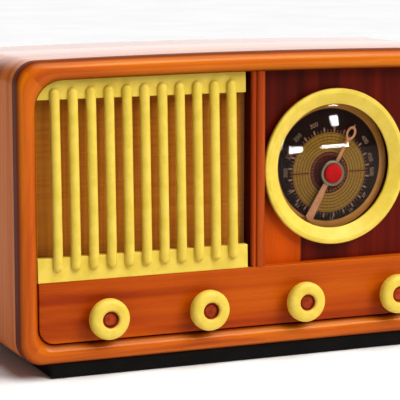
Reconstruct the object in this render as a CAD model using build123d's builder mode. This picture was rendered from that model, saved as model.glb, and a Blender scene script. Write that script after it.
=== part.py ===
from build123d import *
import os
from math import asin, cos, pi, radians, sin, sqrt, tan

# A mains table radio in a lacquered wooden cabinet, with a cream plastic grille,
# dial ring and knobs. Millimetres, +Z up, and the front looks along -Y.
# The origin is on the table, under the middle of the box that holds the radio.
# "Depth" is measured backwards from the front of the frame moulding.

# ---------------------------------------------------------------- driving sizes
CABINET_WIDTH = 474.0
CABINET_TOP = 301.0          # top of the crown above the table
CABINET_DEPTH = 190.0
CROWN = 3.0                  # rise of the top between its two ends
WALL = 12.0                  # boards of the cabinet
CORNER_R = 22.0              # outside corners, seen from the front

PLINTH_HEIGHT = 14.0
PLINTH_WIDTH = 12.0
PLINTH_INSET = 32.0          # from the cabinet's sides
PLINTH_SETBACK = 8.0         # from the front and from the back
PAD_THICKNESS = 1.0
PAD_R = 5.5

FRAME_WIDTH = 18.5           # half-round moulding round the front
FRAME_DEPTH = 18.0
FRAME_NOSE_R = 8.6
OPENING_R_TOP = 26.0
OPENING_R_LOW = 16.0

FASCIA_TOP = 92.3            # the ledge, above the table
FASCIA_FRONT = 5.0
FASCIA_GAP = 0.6             # shadow line round the fascia board
FASCIA_EDGE_R = 1.2
PANEL_THICKNESS = 7.0
BAFFLE_THICKNESS = 12.0
BOARD_GAP = 0.4              # round boards that drop into the cabinet
CLOTH_THICKNESS = 0.8

POST_X = 6.5                 # centre of the moulding between grille and dial
POST_WIDTH = 14.5
POST_FRONT = 4.5
POST_GAP = 0.15
REED_WIDTH = 5.2             # the narrow reed; the wide one takes the rest

BAR_COUNT = 11
BAR_PITCH = 17.8
BAR_WIDTH = 9.5
BAR_THICKNESS = 5.5
BAR_ROUND = 4.4
BAR_FOOT = 10.0              # above the ledge
BAR_HEAD_GAP = 7.5           # below the top of the opening
RAIL_THICKNESS = 8.0
RAIL_GAP = 0.2
RAIL_END_GAP = 4.0           # open slot between the rails and the post
TOP_RAIL_HEIGHT = 18.0
LOW_RAIL_HEIGHT = 23.0
GRILLE_FOOT_DEPTH = 6.0      # front of the rails at the ledge
GRILLE_LEAN = 2.0            # degrees; the top is further back

DIAL_X = 91.2
BEZEL_DROP = 1.8             # below the middle of the panel that shows
BEZEL_R = 77.0
BEZEL_WIDTH = 15.5
BEZEL_HEIGHT = 10.0
BEZEL_WALL = 4.0             # straight part of the ring's outer wall
BEZEL_UNDERCUT = 4.0
GLASS_THICKNESS = 2.0
GLASS_RISE = 7.5
GLASS_SEAT = 4.5             # how far the glass reaches past the window's edge
PIVOT_DROP = 7.7             # the pointer turns below the middle of the ring
PLATE_THICKNESS = 1.0
PLATE_GAP = 0.5
PANEL_HOLE_RIM = 2.5         # the hole in the panel is this much wider than the window

KNOB_Z = 56.6
KNOB_PITCH = 102.2
KNOB_R = 19.6
KNOB_HOLE_R = 7.9
KNOB_LENGTH = 18.5
KNOB_RIM = 10.5              # thickness of the cream ring
KNOB_NECK_R = 13.5           # behind the ring
KNOB_GAP = 1.0
KNOB_DISH = 3.4              # depth of the brown centre behind the crest
SHAFT_R = 3.0
SHAFT_FIT = 0.05             # running clearance in bushes
SHAFT_HOLE_R = 5.0

CHASSIS_WIDTH = 370.0
CHASSIS_FRONT = 45.0
CHASSIS_REAR_GAP = 24.0      # to the back cover
CHASSIS_HEIGHT = 56.0
SHEET = 1.5

POINTER_ANGLE = 29.0         # degrees clockwise from twelve o'clock, at rest
POINTER_TIP_GAP = 7.5        # shorter than the window's radius
POINTER_TAIL_GAP = 9.5
POINTER_THICKNESS = 1.0
POINTER_DEPTH = 18.5
HUB_R = 12.8
CAP_R = 9.4
DRUM_CORD_R = 44.4           # the cord's centre line on the drum
DRIVE_RATIO = 10.0
CORD_PLANE = 41.0            # depth of the drive cord
CORD_THICKNESS = 0.8

SPEAKER_R = 75.0
SPEAKER_HOLE_R = 62.0
CONE_R = 58.0
COIL_R = 12.8
MAGNET_R = 35.0

BACK_INSET = 3.0             # outer face of the cover, from the cabinet's back edge
BACK_COVER_THICKNESS = 3.0
BATTEN = 12.0
SOCKET_BORE_R = 2.05         # for 4 mm plugs
SOCKET_LENGTH = 14.0
GLAND_BORE_R = 3.6
TERMINAL_Z = 46.0

# ------------------------------------------------------------- worked-out sizes
HALF_WIDTH = CABINET_WIDTH / 2
UNDERSIDE = PLINTH_HEIGHT + PAD_THICKNESS
KNOB_CREST = FASCIA_FRONT - KNOB_GAP - KNOB_LENGTH
FRONT_Y = -(CABINET_DEPTH - KNOB_CREST) / 2 - KNOB_CREST
OPENING_HALF = HALF_WIDTH - FRAME_WIDTH
OPENING_LOW = UNDERSIDE + FRAME_WIDTH
OPENING_TOP = CABINET_TOP - FRAME_WIDTH
OPENING_CROWN = CROWN * (OPENING_HALF / HALF_WIDTH) ** 2
INSIDE_HALF = HALF_WIDTH - WALL
INSIDE_LOW = UNDERSIDE + WALL
INSIDE_TOP = CABINET_TOP - WALL
INSIDE_CROWN = CROWN * (INSIDE_HALF / HALF_WIDTH) ** 2
PANEL_FRONT = FRAME_DEPTH
BAFFLE_FRONT = PANEL_FRONT + PANEL_THICKNESS
BAFFLE_BACK = BAFFLE_FRONT + BAFFLE_THICKNESS
POST_LEFT = POST_X - POST_WIDTH / 2
POST_RIGHT = POST_X + POST_WIDTH / 2
BAY_LEFT = -OPENING_HALF
BAY_CENTRE = (BAY_LEFT + POST_LEFT) / 2
BEZEL_Z = (FASCIA_TOP + OPENING_TOP) / 2 - BEZEL_DROP
PIVOT_Z = BEZEL_Z - PIVOT_DROP
WINDOW_R = BEZEL_R - BEZEL_WIDTH
PANEL_HOLE_R = WINDOW_R + PANEL_HOLE_RIM
POINTER_LENGTH = WINDOW_R - POINTER_TIP_GAP
POINTER_TAIL = WINDOW_R - POINTER_TAIL_GAP
BACK_FACE = CABINET_DEPTH - BACK_INSET
BACK_COVER_DEPTH = BACK_FACE - BACK_COVER_THICKNESS
CHASSIS_BACK = BACK_COVER_DEPTH - CHASSIS_REAR_GAP
PLINTH_BACK = CABINET_DEPTH - PLINTH_SETBACK
SPEAKER_Z = (FASCIA_TOP + OPENING_TOP) / 2
CHASSIS_TOP = INSIDE_LOW + CHASSIS_HEIGHT
SPINDLE_CORD_R = DRUM_CORD_R / DRIVE_RATIO
KNOB_XS = [(i - 1.5) * KNOB_PITCH for i in range(4)]
VOLUME_X, TONE_X, TUNING_X, WAVE_X = KNOB_XS


# ---------------------------------------------------------------------- helpers
def behind(depth):
    """Upright plane at a depth behind the front, looking out of the front."""
    return Plane.XZ.offset(-(FRONT_Y + depth))


def level(height):
    """Level plane at a height above the table; its y is the depth."""
    return Plane(origin=(0, FRONT_Y, height))


def turning_plane(x, z):
    """Half-section plane of a turned part: x is the radius, y the depth."""
    return Plane(origin=(x, FRONT_Y, z))


def turning_axis(x, z):
    """Axis of a turned part that points into the cabinet."""
    return Axis((x, FRONT_Y, z), (0, 1, 0))


def side_plane(x):
    """Upright plane across the cabinet: local x is the depth, y the height."""
    return Plane(origin=(x, FRONT_Y, 0), x_dir=(0, 1, 0), z_dir=(1, 0, 0))


def crowned_face(half, low, top, crown, r_low, r_top):
    """Face with a crowned top edge and rounded corners, centred on x = 0."""
    with BuildSketch() as face:
        with BuildLine():
            Polyline((-half, top - crown), (-half, low), (half, low), (half, top - crown))
            ThreePointArc((half, top - crown), (0, top), (-half, top - crown))
        make_face()
        fillet(face.vertices().group_by(Axis.Y)[0], radius=r_low)
        fillet(face.vertices().filter_by(lambda v: v.Y > top - crown - r_low), radius=r_top)
    return face.sketch


def opening_face(gap):
    """The hole in the frame moulding, smaller by a gap all round."""
    return crowned_face(OPENING_HALF - gap, OPENING_LOW + gap, OPENING_TOP - gap, OPENING_CROWN,
                        OPENING_R_LOW - gap, OPENING_R_TOP - gap)


def inside_face(gap):
    """The hollow of the cabinet, smaller by a gap all round."""
    corner = CORNER_R - WALL - gap
    return crowned_face(INSIDE_HALF - gap, INSIDE_LOW + gap, INSIDE_TOP - gap, INSIDE_CROWN,
                        corner, corner)


def opening_top(x):
    """Height of the crowned edge of the opening at a place across the front."""
    return OPENING_TOP - OPENING_CROWN * (x / OPENING_HALF) ** 2


def lean_depth(z):
    """Depth of the front of the leaning grille rails at a height."""
    return GRILLE_FOOT_DEPTH + (z - FASCIA_TOP) * tan(radians(GRILLE_LEAN))


def zone(x_low, x_high, z_low, z_high):
    """Rectangle between two places across the front and two heights."""
    area = Rectangle(x_high - x_low, z_high - z_low, mode=Mode.PRIVATE)
    return Pos((x_low + x_high) / 2, (z_low + z_high) / 2) * area


def lean_plane():
    """Plane of the grille rails' fronts, looking out and a little up."""
    slope = radians(GRILLE_LEAN)
    return Plane(origin=(0, FRONT_Y + GRILLE_FOOT_DEPTH, FASCIA_TOP),
                 x_dir=(1, 0, 0), z_dir=(0, -cos(slope), sin(slope)))


os.makedirs("parts", exist_ok=True)

OUTER = crowned_face(HALF_WIDTH, UNDERSIDE, CABINET_TOP, CROWN, CORNER_R, CORNER_R)
INSIDE = crowned_face(INSIDE_HALF, INSIDE_LOW, INSIDE_TOP, INSIDE_CROWN,
                      CORNER_R - WALL, CORNER_R - WALL)
EDGE_TOP = CABINET_TOP - CROWN
CORNER_X = HALF_WIDTH - CORNER_R

# --------------------------------------------------------------- cabinet boards
BOARD_ZONES = {
    "cabinet_top": [zone(-CORNER_X, CORNER_X, EDGE_TOP - CORNER_R, CABINET_TOP)],
    "cabinet_bottom": [zone(-CORNER_X, CORNER_X, UNDERSIDE, UNDERSIDE + CORNER_R)],
    "cabinet_side_left": [zone(-HALF_WIDTH, -CORNER_X, UNDERSIDE + CORNER_R, EDGE_TOP - CORNER_R)],
    "cabinet_side_right": [zone(CORNER_X, HALF_WIDTH, UNDERSIDE + CORNER_R, EDGE_TOP - CORNER_R)],
    "cabinet_corners": [
        zone(-HALF_WIDTH, -CORNER_X, UNDERSIDE, UNDERSIDE + CORNER_R),
        zone(CORNER_X, HALF_WIDTH, UNDERSIDE, UNDERSIDE + CORNER_R),
        zone(-HALF_WIDTH, -CORNER_X, EDGE_TOP - CORNER_R, CABINET_TOP),
        zone(CORNER_X, HALF_WIDTH, EDGE_TOP - CORNER_R, CABINET_TOP),
    ],
}
BOLT_R = 2.5
BOLT_INSET = 14.0
BOLT_XS = [-(CHASSIS_WIDTH / 2 - BOLT_INSET), CHASSIS_WIDTH / 2 - BOLT_INSET]
BOLT_DEPTHS = [CHASSIS_FRONT + BOLT_INSET, CHASSIS_BACK - BOLT_INSET]
BOLT_PLACES = [(x, d) for x in BOLT_XS for d in BOLT_DEPTHS]

for name, zones in BOARD_ZONES.items():
    with BuildPart() as board:
        with BuildSketch(behind(CABINET_DEPTH)):
            add(OUTER)
            add(INSIDE, mode=Mode.SUBTRACT)
            add(zones, mode=Mode.INTERSECT)
        extrude(amount=CABINET_DEPTH - FRAME_DEPTH)
        if name == "cabinet_bottom":
            with BuildSketch(level(UNDERSIDE)):
                with Locations(*BOLT_PLACES):
                    Circle(BOLT_R)
            extrude(amount=WALL, mode=Mode.SUBTRACT)
    board.part.label = name
    export_step(board.part, f"parts/{name}.step")

# --------------------------------------------------- half-round frame, mitred
with BuildPart() as frame_ring:
    with BuildSketch(behind(FRAME_DEPTH)):
        add(OUTER)
        add(opening_face(0), mode=Mode.SUBTRACT)
    extrude(amount=FRAME_DEPTH)
    fillet(frame_ring.faces().sort_by(Axis.Y)[0].edges(), radius=FRAME_NOSE_R)

REACH = 60.0                 # the mitre planes run this far in from each corner
MITRES = {
    "frame_top": [(-1, 1), (1, 1)],
    "frame_bottom": [(1, -1), (-1, -1)],
    "frame_left": [(-1, -1), (-1, 1)],
    "frame_right": [(1, 1), (1, -1)],
}


def mitre_corner(side, end, inward):
    """A point on the 45 degree line through an outside corner, moved inward."""
    z = EDGE_TOP if end > 0 else UNDERSIDE
    return (side * (HALF_WIDTH - inward), z - end * inward)


for name, (first, last) in MITRES.items():
    with BuildPart() as moulding:
        add(frame_ring.part)
        with BuildSketch(behind(FRAME_DEPTH)):
            with BuildLine():
                Polyline(mitre_corner(*first, -REACH), mitre_corner(*last, -REACH),
                         mitre_corner(*last, REACH), mitre_corner(*first, REACH), close=True)
            make_face()
        extrude(amount=FRAME_DEPTH, mode=Mode.INTERSECT)
    moulding.part.label = name
    export_step(moulding.part, f"parts/{name}.step")

# ---------------------------------------------------------------- front boards
with BuildPart() as fascia_board:
    with BuildSketch(behind(PANEL_FRONT)):
        add(opening_face(FASCIA_GAP))
        add(zone(-HALF_WIDTH, HALF_WIDTH, UNDERSIDE, FASCIA_TOP), mode=Mode.INTERSECT)
    extrude(amount=PANEL_FRONT - FASCIA_FRONT)
    fillet(fascia_board.faces().sort_by(Axis.Y)[0].edges(), radius=FASCIA_EDGE_R)
    with BuildSketch(behind(PANEL_FRONT)):
        with Locations(*[(x, KNOB_Z) for x in KNOB_XS]):
            Circle(SHAFT_HOLE_R)
    extrude(amount=PANEL_FRONT, mode=Mode.SUBTRACT)
fascia_board.part.label = "fascia_board"
export_step(fascia_board.part, "parts/fascia_board.step")

with BuildPart() as dial_panel:
    with BuildSketch(behind(BAFFLE_FRONT)):
        add(inside_face(BOARD_GAP))
        add(zone(POST_RIGHT, HALF_WIDTH, UNDERSIDE, CABINET_TOP), mode=Mode.INTERSECT)
        with Locations((DIAL_X, BEZEL_Z)):
            Circle(PANEL_HOLE_R, mode=Mode.SUBTRACT)
        with Locations((TUNING_X, KNOB_Z), (WAVE_X, KNOB_Z)):
            Circle(SHAFT_HOLE_R, mode=Mode.SUBTRACT)
    extrude(amount=PANEL_THICKNESS)
dial_panel.part.label = "dial_panel"
export_step(dial_panel.part, "parts/dial_panel.step")

POINTER_HOLE_R = 8.0
with BuildPart() as baffle_board:
    with BuildSketch(behind(BAFFLE_BACK)):
        add(inside_face(BOARD_GAP))
        with Locations((BAY_CENTRE, SPEAKER_Z)):
            Circle(SPEAKER_HOLE_R, mode=Mode.SUBTRACT)
        with Locations((DIAL_X, PIVOT_Z)):
            Circle(POINTER_HOLE_R, mode=Mode.SUBTRACT)
        with Locations(*[(x, KNOB_Z) for x in KNOB_XS]):
            Circle(SHAFT_HOLE_R, mode=Mode.SUBTRACT)
    extrude(amount=BAFFLE_THICKNESS)
baffle_board.part.label = "baffle_board"
export_step(baffle_board.part, "parts/baffle_board.step")

# ------------------------------------------------- post between grille and dial
WIDE_REED = POST_WIDTH - REED_WIDTH
REED_BASE = POST_FRONT + WIDE_REED / 2
with BuildPart() as grille_post:
    with BuildSketch(level(FASCIA_TOP)):
        with Locations((POST_X, (REED_BASE + BAFFLE_FRONT) / 2)):
            Rectangle(POST_WIDTH, BAFFLE_FRONT - REED_BASE)
        with Locations((POST_LEFT + REED_WIDTH / 2, REED_BASE)):
            Ellipse(REED_WIDTH / 2, REED_WIDTH / 2 + 0.8)
        with Locations((POST_RIGHT - WIDE_REED / 2, REED_BASE)):
            Circle(WIDE_REED / 2)
    extrude(amount=opening_top(POST_RIGHT) - FASCIA_TOP - POST_GAP)
grille_post.part.label = "grille_post"
export_step(grille_post.part, "parts/grille_post.step")


# ------------------------------------------------------------------ the grille
def rail_profile(z_low, z_high):
    """Side view of a rail: a leaning slice between two heights."""
    Polyline((lean_depth(z_low), z_low), (lean_depth(z_high), z_high),
             (lean_depth(z_high) + RAIL_THICKNESS, z_high),
             (lean_depth(z_low) + RAIL_THICKNESS, z_low), close=True)


RAIL_RIGHT = POST_LEFT - RAIL_END_GAP
TOP_RAIL_LOW = OPENING_TOP - OPENING_CROWN - TOP_RAIL_HEIGHT
LOW_RAIL_TOP = FASCIA_TOP + LOW_RAIL_HEIGHT
RAILS = {
    "grille_top_rail": (TOP_RAIL_LOW, OPENING_TOP),
    "grille_bottom_rail": (FASCIA_TOP, LOW_RAIL_TOP),
}
for name, (z_low, z_high) in RAILS.items():
    with BuildPart() as rail:
        with BuildSketch(behind(BAFFLE_FRONT)):
            add(opening_face(RAIL_GAP))
            add(zone(-HALF_WIDTH, RAIL_RIGHT, z_low, z_high), mode=Mode.INTERSECT)
        extrude(amount=BAFFLE_FRONT)
        with BuildSketch(side_plane(-HALF_WIDTH)):
            with BuildLine():
                rail_profile(z_low, z_high)
            make_face()
        extrude(amount=CABINET_WIDTH, mode=Mode.INTERSECT)
    rail.part.label = name
    export_step(rail.part, f"parts/{name}.step")

BAR_XS = [BAY_CENTRE + (i - (BAR_COUNT - 1) / 2) * BAR_PITCH for i in range(BAR_COUNT)]
with BuildPart() as grille_bars:
    with BuildSketch(lean_plane()):
        for x in BAR_XS:
            head = (opening_top(x) - BAR_HEAD_GAP - FASCIA_TOP) / cos(radians(GRILLE_LEAN))
            with Locations((x, (BAR_FOOT + head) / 2)):
                SlotOverall(head - BAR_FOOT, BAR_WIDTH, rotation=90)
    extrude(amount=BAR_THICKNESS)
    outward = Axis((0, 0, 0), lean_plane().z_dir)
    fillet(grille_bars.faces().group_by(outward)[-1].edges(), radius=BAR_ROUND)
grille_bars.part.label = "grille_bars"
export_step(grille_bars.part, "parts/grille_bars.step")

with BuildPart() as grille_cloth:
    with BuildSketch(behind(BAFFLE_FRONT)):
        add(inside_face(BOARD_GAP))
        add(zone(-HALF_WIDTH, POST_LEFT - POST_GAP, FASCIA_TOP, CABINET_TOP), mode=Mode.INTERSECT)
    extrude(amount=CLOTH_THICKNESS)
grille_cloth.part.label = "grille_cloth"
export_step(grille_cloth.part, "parts/grille_cloth.step")

# -------------------------------------------------------------- ring, glass, dial
BEZEL_FRONT = PANEL_FRONT - BEZEL_HEIGHT
GLASS_R = WINDOW_R + GLASS_SEAT
SEAT_GAP = 0.3
BEZEL_CREST = 4.5            # flat of the ring before its inner slope
LIP_THICKNESS = 2.5
lip_back = PANEL_FRONT - GLASS_THICKNESS - SEAT_GAP
with BuildPart() as bezel_ring:
    with BuildSketch(turning_plane(DIAL_X, BEZEL_Z)) as ring_section:
        with BuildLine():
            Polyline((GLASS_R + SEAT_GAP, PANEL_FRONT), (BEZEL_R - BEZEL_UNDERCUT, PANEL_FRONT),
                     (BEZEL_R, BEZEL_FRONT + BEZEL_WALL), (BEZEL_R, BEZEL_FRONT),
                     (BEZEL_R - BEZEL_CREST, BEZEL_FRONT),
                     (WINDOW_R, lip_back - LIP_THICKNESS), (WINDOW_R, lip_back),
                     (GLASS_R + SEAT_GAP, lip_back), close=True)
        make_face()
        fillet(ring_section.vertices().group_by(Axis.Y)[0].sort_by(Axis.X)[-1], radius=3.5)
        fillet(ring_section.vertices().group_by(Axis.Y)[0].sort_by(Axis.X)[0], radius=1.5)
    revolve(axis=turning_axis(DIAL_X, BEZEL_Z))
bezel_ring.part.label = "bezel_ring"
export_step(bezel_ring.part, "parts/bezel_ring.step")


def dome_middle(reach, rim, crown):
    """A point half way out on the arc from the axis to the rim of a dome."""
    rise = rim - crown
    ball = (reach ** 2 + rise ** 2) / (2 * rise)
    half = reach / 2
    return (half, crown + ball - sqrt(ball ** 2 - half ** 2))


glass_crown = PANEL_FRONT - GLASS_THICKNESS - GLASS_RISE
glass_rim = PANEL_FRONT - GLASS_THICKNESS
DOME_R = WINDOW_R - 0.5
with BuildPart() as dial_glass:
    with BuildSketch(turning_plane(DIAL_X, BEZEL_Z)):
        with BuildLine():
            ThreePointArc((0, glass_crown), dome_middle(DOME_R, glass_rim, glass_crown), (DOME_R, glass_rim))
            Polyline((DOME_R, glass_rim), (GLASS_R, glass_rim), (GLASS_R, PANEL_FRONT), (DOME_R, PANEL_FRONT))
            ThreePointArc((DOME_R, PANEL_FRONT),
                          dome_middle(DOME_R, PANEL_FRONT, glass_crown + GLASS_THICKNESS),
                          (0, glass_crown + GLASS_THICKNESS))
            Line((0, glass_crown + GLASS_THICKNESS), (0, glass_crown))
        make_face()
    revolve(axis=turning_axis(DIAL_X, BEZEL_Z))
dial_glass.part.label = "dial_glass"
export_step(dial_glass.part, "parts/dial_glass.step")

PLATE_HOLE_R = 4.5
with BuildPart() as dial_plate:
    with BuildSketch(behind(BAFFLE_FRONT)):
        with Locations((DIAL_X, BEZEL_Z)):
            Circle(PANEL_HOLE_R - PLATE_GAP)
        with Locations((DIAL_X, PIVOT_Z)):
            Circle(PLATE_HOLE_R, mode=Mode.SUBTRACT)
    extrude(amount=PLATE_THICKNESS)
dial_plate.part.label = "dial_plate"
export_step(dial_plate.part, "parts/dial_plate.step")

# ------------------------------------------------------------- plinth and pads
PLINTH_HALF = HALF_WIDTH - PLINTH_INSET
with BuildPart() as plinth_rails:
    with BuildSketch(level(PAD_THICKNESS)):
        for depth in (PLINTH_SETBACK + PLINTH_WIDTH / 2, PLINTH_BACK - PLINTH_WIDTH / 2):
            with Locations((0, depth)):
                Rectangle(2 * PLINTH_HALF, PLINTH_WIDTH)
        side_length = PLINTH_BACK - PLINTH_SETBACK - 2 * PLINTH_WIDTH - 2 * BOARD_GAP
        for x in (-PLINTH_HALF + PLINTH_WIDTH / 2, PLINTH_HALF - PLINTH_WIDTH / 2):
            with Locations((x, (PLINTH_SETBACK + PLINTH_BACK) / 2)):
                Rectangle(PLINTH_WIDTH, side_length)
    extrude(amount=PLINTH_HEIGHT)
plinth_rails.part.label = "plinth_rails"
export_step(plinth_rails.part, "parts/plinth_rails.step")

PAD_XS = [-PLINTH_HALF + PLINTH_WIDTH, PLINTH_HALF - PLINTH_WIDTH]
PAD_DEPTHS = [PLINTH_SETBACK + PLINTH_WIDTH / 2, PLINTH_BACK - PLINTH_WIDTH / 2]
with BuildPart() as felt_pads:
    with BuildSketch(level(0)):
        with Locations(*[(x, d) for x in PAD_XS for d in PAD_DEPTHS]):
            Circle(PAD_R)
    extrude(amount=PAD_THICKNESS)
felt_pads.part.label = "felt_pads"
export_step(felt_pads.part, "parts/felt_pads.step")

# ------------------------------------------------------------------- the knobs
crest_r = (KNOB_R + KNOB_HOLE_R) / 2
tube_r = (KNOB_R - KNOB_HOLE_R) / 2
KNOB_BACK = FASCIA_FRONT - KNOB_GAP
nose_depth = KNOB_CREST + tube_r
INSERT_FRONT = KNOB_CREST + KNOB_DISH
INSERT_BACK = INSERT_FRONT + 3.0
INSERT_EDGE = 1.0
SHAFT_END = CHASSIS_FRONT + 11.0
KNOBS = {"volume": VOLUME_X, "tone": TONE_X, "tuning": TUNING_X, "wave": WAVE_X}
for name, x in KNOBS.items():
    with BuildPart() as knob:
        with BuildSketch(turning_plane(x, KNOB_Z)):
            with BuildLine():
                Polyline((SHAFT_R, INSERT_BACK), (SHAFT_R, KNOB_BACK), (KNOB_NECK_R, KNOB_BACK),
                         (KNOB_NECK_R, KNOB_CREST + KNOB_RIM), (KNOB_R - 0.6, KNOB_CREST + KNOB_RIM),
                         (KNOB_R, nose_depth))
                ThreePointArc((KNOB_R, nose_depth), (crest_r, KNOB_CREST), (KNOB_HOLE_R, nose_depth))
                Polyline((KNOB_HOLE_R, nose_depth), (KNOB_HOLE_R, INSERT_BACK), (SHAFT_R, INSERT_BACK))
            make_face()
        revolve(axis=turning_axis(x, KNOB_Z))
    knob.part.label = f"{name}_knob"
    export_step(knob.part, f"parts/{name}_knob.step")

    with BuildPart() as insert:
        with BuildSketch(turning_plane(x, KNOB_Z)):
            with BuildLine():
                Polyline((0, INSERT_FRONT), (0, INSERT_BACK), (KNOB_HOLE_R - SHAFT_FIT, INSERT_BACK),
                         (KNOB_HOLE_R - SHAFT_FIT, INSERT_FRONT + INSERT_EDGE))
                ThreePointArc((KNOB_HOLE_R - SHAFT_FIT, INSERT_FRONT + INSERT_EDGE),
                              dome_middle(KNOB_HOLE_R - SHAFT_FIT, INSERT_FRONT + INSERT_EDGE, INSERT_FRONT),
                              (0, INSERT_FRONT))
            make_face()
        revolve(axis=turning_axis(x, KNOB_Z))
    insert.part.label = f"{name}_insert"
    export_step(insert.part, f"parts/{name}_insert.step")

    with BuildPart() as shaft:
        with BuildSketch(behind(SHAFT_END)):
            with Locations((x, KNOB_Z)):
                Circle(SHAFT_R)
        extrude(amount=SHAFT_END - INSERT_BACK)
        if name == "tuning":
            with BuildSketch(turning_plane(x, KNOB_Z)):
                with BuildLine():
                    Polyline((SHAFT_R - 0.5, CORD_PLANE - 2), (SPINDLE_CORD_R + 0.8, CORD_PLANE - 2),
                             (SPINDLE_CORD_R + 0.8, CORD_PLANE - 0.7), (SPINDLE_CORD_R - 0.7, CORD_PLANE - 0.7),
                             (SPINDLE_CORD_R - 0.7, CORD_PLANE + 0.7), (SPINDLE_CORD_R + 0.8, CORD_PLANE + 0.7),
                             (SPINDLE_CORD_R + 0.8, CORD_PLANE + 2), (SHAFT_R - 0.5, CORD_PLANE + 2), close=True)
                make_face()
            revolve(axis=turning_axis(x, KNOB_Z))
    shaft.part.label = f"{name}_shaft"
    export_step(shaft.part, f"parts/{name}_shaft.step")

# ------------------------------------------------------------ pointer and drive
HUB_FRONT = POINTER_DEPTH - 3.0
CAP_FRONT = HUB_FRONT - 3.4
NEEDLE_BACK = POINTER_DEPTH + POINTER_THICKNESS
SPADE_AT = 44.0              # centre of the open spade on the long arm
SPADE_R = 5.2
SPADE_HOLE_R = 2.9
TIP_HALF = 0.7
ARM_HALF = 2.2
TAIL_HALF = 4.4
lean = radians(POINTER_ANGLE)
pointer_plane = Plane(origin=(DIAL_X, FRONT_Y + NEEDLE_BACK, PIVOT_Z),
                      x_dir=(cos(lean), 0, -sin(lean)), z_dir=(0, -1, 0))
with BuildPart() as pointer_needle:
    with BuildSketch(pointer_plane):
        Circle(HUB_R - 1.5)
        with BuildLine():
            Polyline((-ARM_HALF, 0), (-TIP_HALF, POINTER_LENGTH - 3), (0, POINTER_LENGTH),
                     (TIP_HALF, POINTER_LENGTH - 3), (ARM_HALF, 0), close=True)
        make_face()
        with BuildLine():
            Polyline((-ARM_HALF, 0), (-TAIL_HALF, -POINTER_TAIL + 2), (0, -POINTER_TAIL),
                     (TAIL_HALF, -POINTER_TAIL + 2), (ARM_HALF, 0), close=True)
        make_face()
        with Locations((0, SPADE_AT)):
            Ellipse(SPADE_R, SPADE_R * 1.4)
            Ellipse(SPADE_HOLE_R, SPADE_HOLE_R * 1.6, mode=Mode.SUBTRACT)
    extrude(amount=POINTER_THICKNESS)
pointer_needle.part.label = "pointer_needle"
export_step(pointer_needle.part, "parts/pointer_needle.step")

with BuildPart() as pointer_hub:
    with BuildSketch(behind(POINTER_DEPTH)):
        with Locations((DIAL_X, PIVOT_Z)):
            Circle(HUB_R)
    extrude(amount=POINTER_DEPTH - HUB_FRONT)
    fillet(pointer_hub.faces().sort_by(Axis.Y)[0].edges(), radius=1.2)
pointer_hub.part.label = "pointer_hub"
export_step(pointer_hub.part, "parts/pointer_hub.step")

with BuildPart() as pointer_cap:
    with BuildSketch(turning_plane(DIAL_X, PIVOT_Z)):
        with BuildLine():
            Polyline((0, CAP_FRONT), (0, HUB_FRONT), (CAP_R, HUB_FRONT), (CAP_R, HUB_FRONT - 0.8))
            ThreePointArc((CAP_R, HUB_FRONT - 0.8), dome_middle(CAP_R, HUB_FRONT - 0.8, CAP_FRONT), (0, CAP_FRONT))
        make_face()
    revolve(axis=turning_axis(DIAL_X, PIVOT_Z))
pointer_cap.part.label = "pointer_cap"
export_step(pointer_cap.part, "parts/pointer_cap.step")

GANG_FRONT = 58.0
GANG_LENGTH = 50.0
GANG_BACK = GANG_FRONT + GANG_LENGTH
GANG_R = 22.0
VANE = 1.2
VANE_PITCH = 5.6
ROTOR_VANES = 7
DRUM_R = DRUM_CORD_R + 1.0
with BuildPart() as dial_drum:
    with BuildSketch(turning_plane(DIAL_X, PIVOT_Z)):
        with BuildLine():
            Polyline((0, NEEDLE_BACK), (SHAFT_R + 2, NEEDLE_BACK), (SHAFT_R + 2, NEEDLE_BACK + 2),
                     (SHAFT_R, NEEDLE_BACK + 2), (SHAFT_R, CORD_PLANE - 2), (DRUM_R, CORD_PLANE - 2),
                     (DRUM_R, CORD_PLANE - 0.7), (DRUM_R - 1.7, CORD_PLANE - 0.7),
                     (DRUM_R - 1.7, CORD_PLANE + 0.7), (DRUM_R, CORD_PLANE + 0.7),
                     (DRUM_R, CORD_PLANE + 2), (8, CORD_PLANE + 2), (8, CORD_PLANE + 8),
                     (SHAFT_R, CORD_PLANE + 8), (SHAFT_R, GANG_BACK + 4), (0, GANG_BACK + 4), close=True)
        make_face()
    revolve(axis=turning_axis(DIAL_X, PIVOT_Z))
    with BuildSketch(behind(CORD_PLANE + 2)):
        with Locations((DIAL_X, PIVOT_Z)):
            with PolarLocations(27, 6):
                Circle(9)
    extrude(amount=4, mode=Mode.SUBTRACT)
dial_drum.part.label = "dial_drum"
export_step(dial_drum.part, "parts/dial_drum.step")

first_vane = GANG_FRONT + GANG_LENGTH / 2 - (ROTOR_VANES - 1) / 2 * VANE_PITCH
with BuildPart() as gang_rotor:
    for i in range(ROTOR_VANES):
        with BuildSketch(behind(first_vane + i * VANE_PITCH + VANE)):
            with Locations((DIAL_X, PIVOT_Z)):
                Circle(GANG_R)
                Rectangle(2 * GANG_R, GANG_R, align=(Align.CENTER, Align.MIN), mode=Mode.SUBTRACT)
                Circle(SHAFT_R + 3)
                Circle(SHAFT_R, mode=Mode.SUBTRACT)
        extrude(amount=VANE)
gang_rotor.part.label = "gang_rotor"
export_step(gang_rotor.part, "parts/gang_rotor.step")

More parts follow.
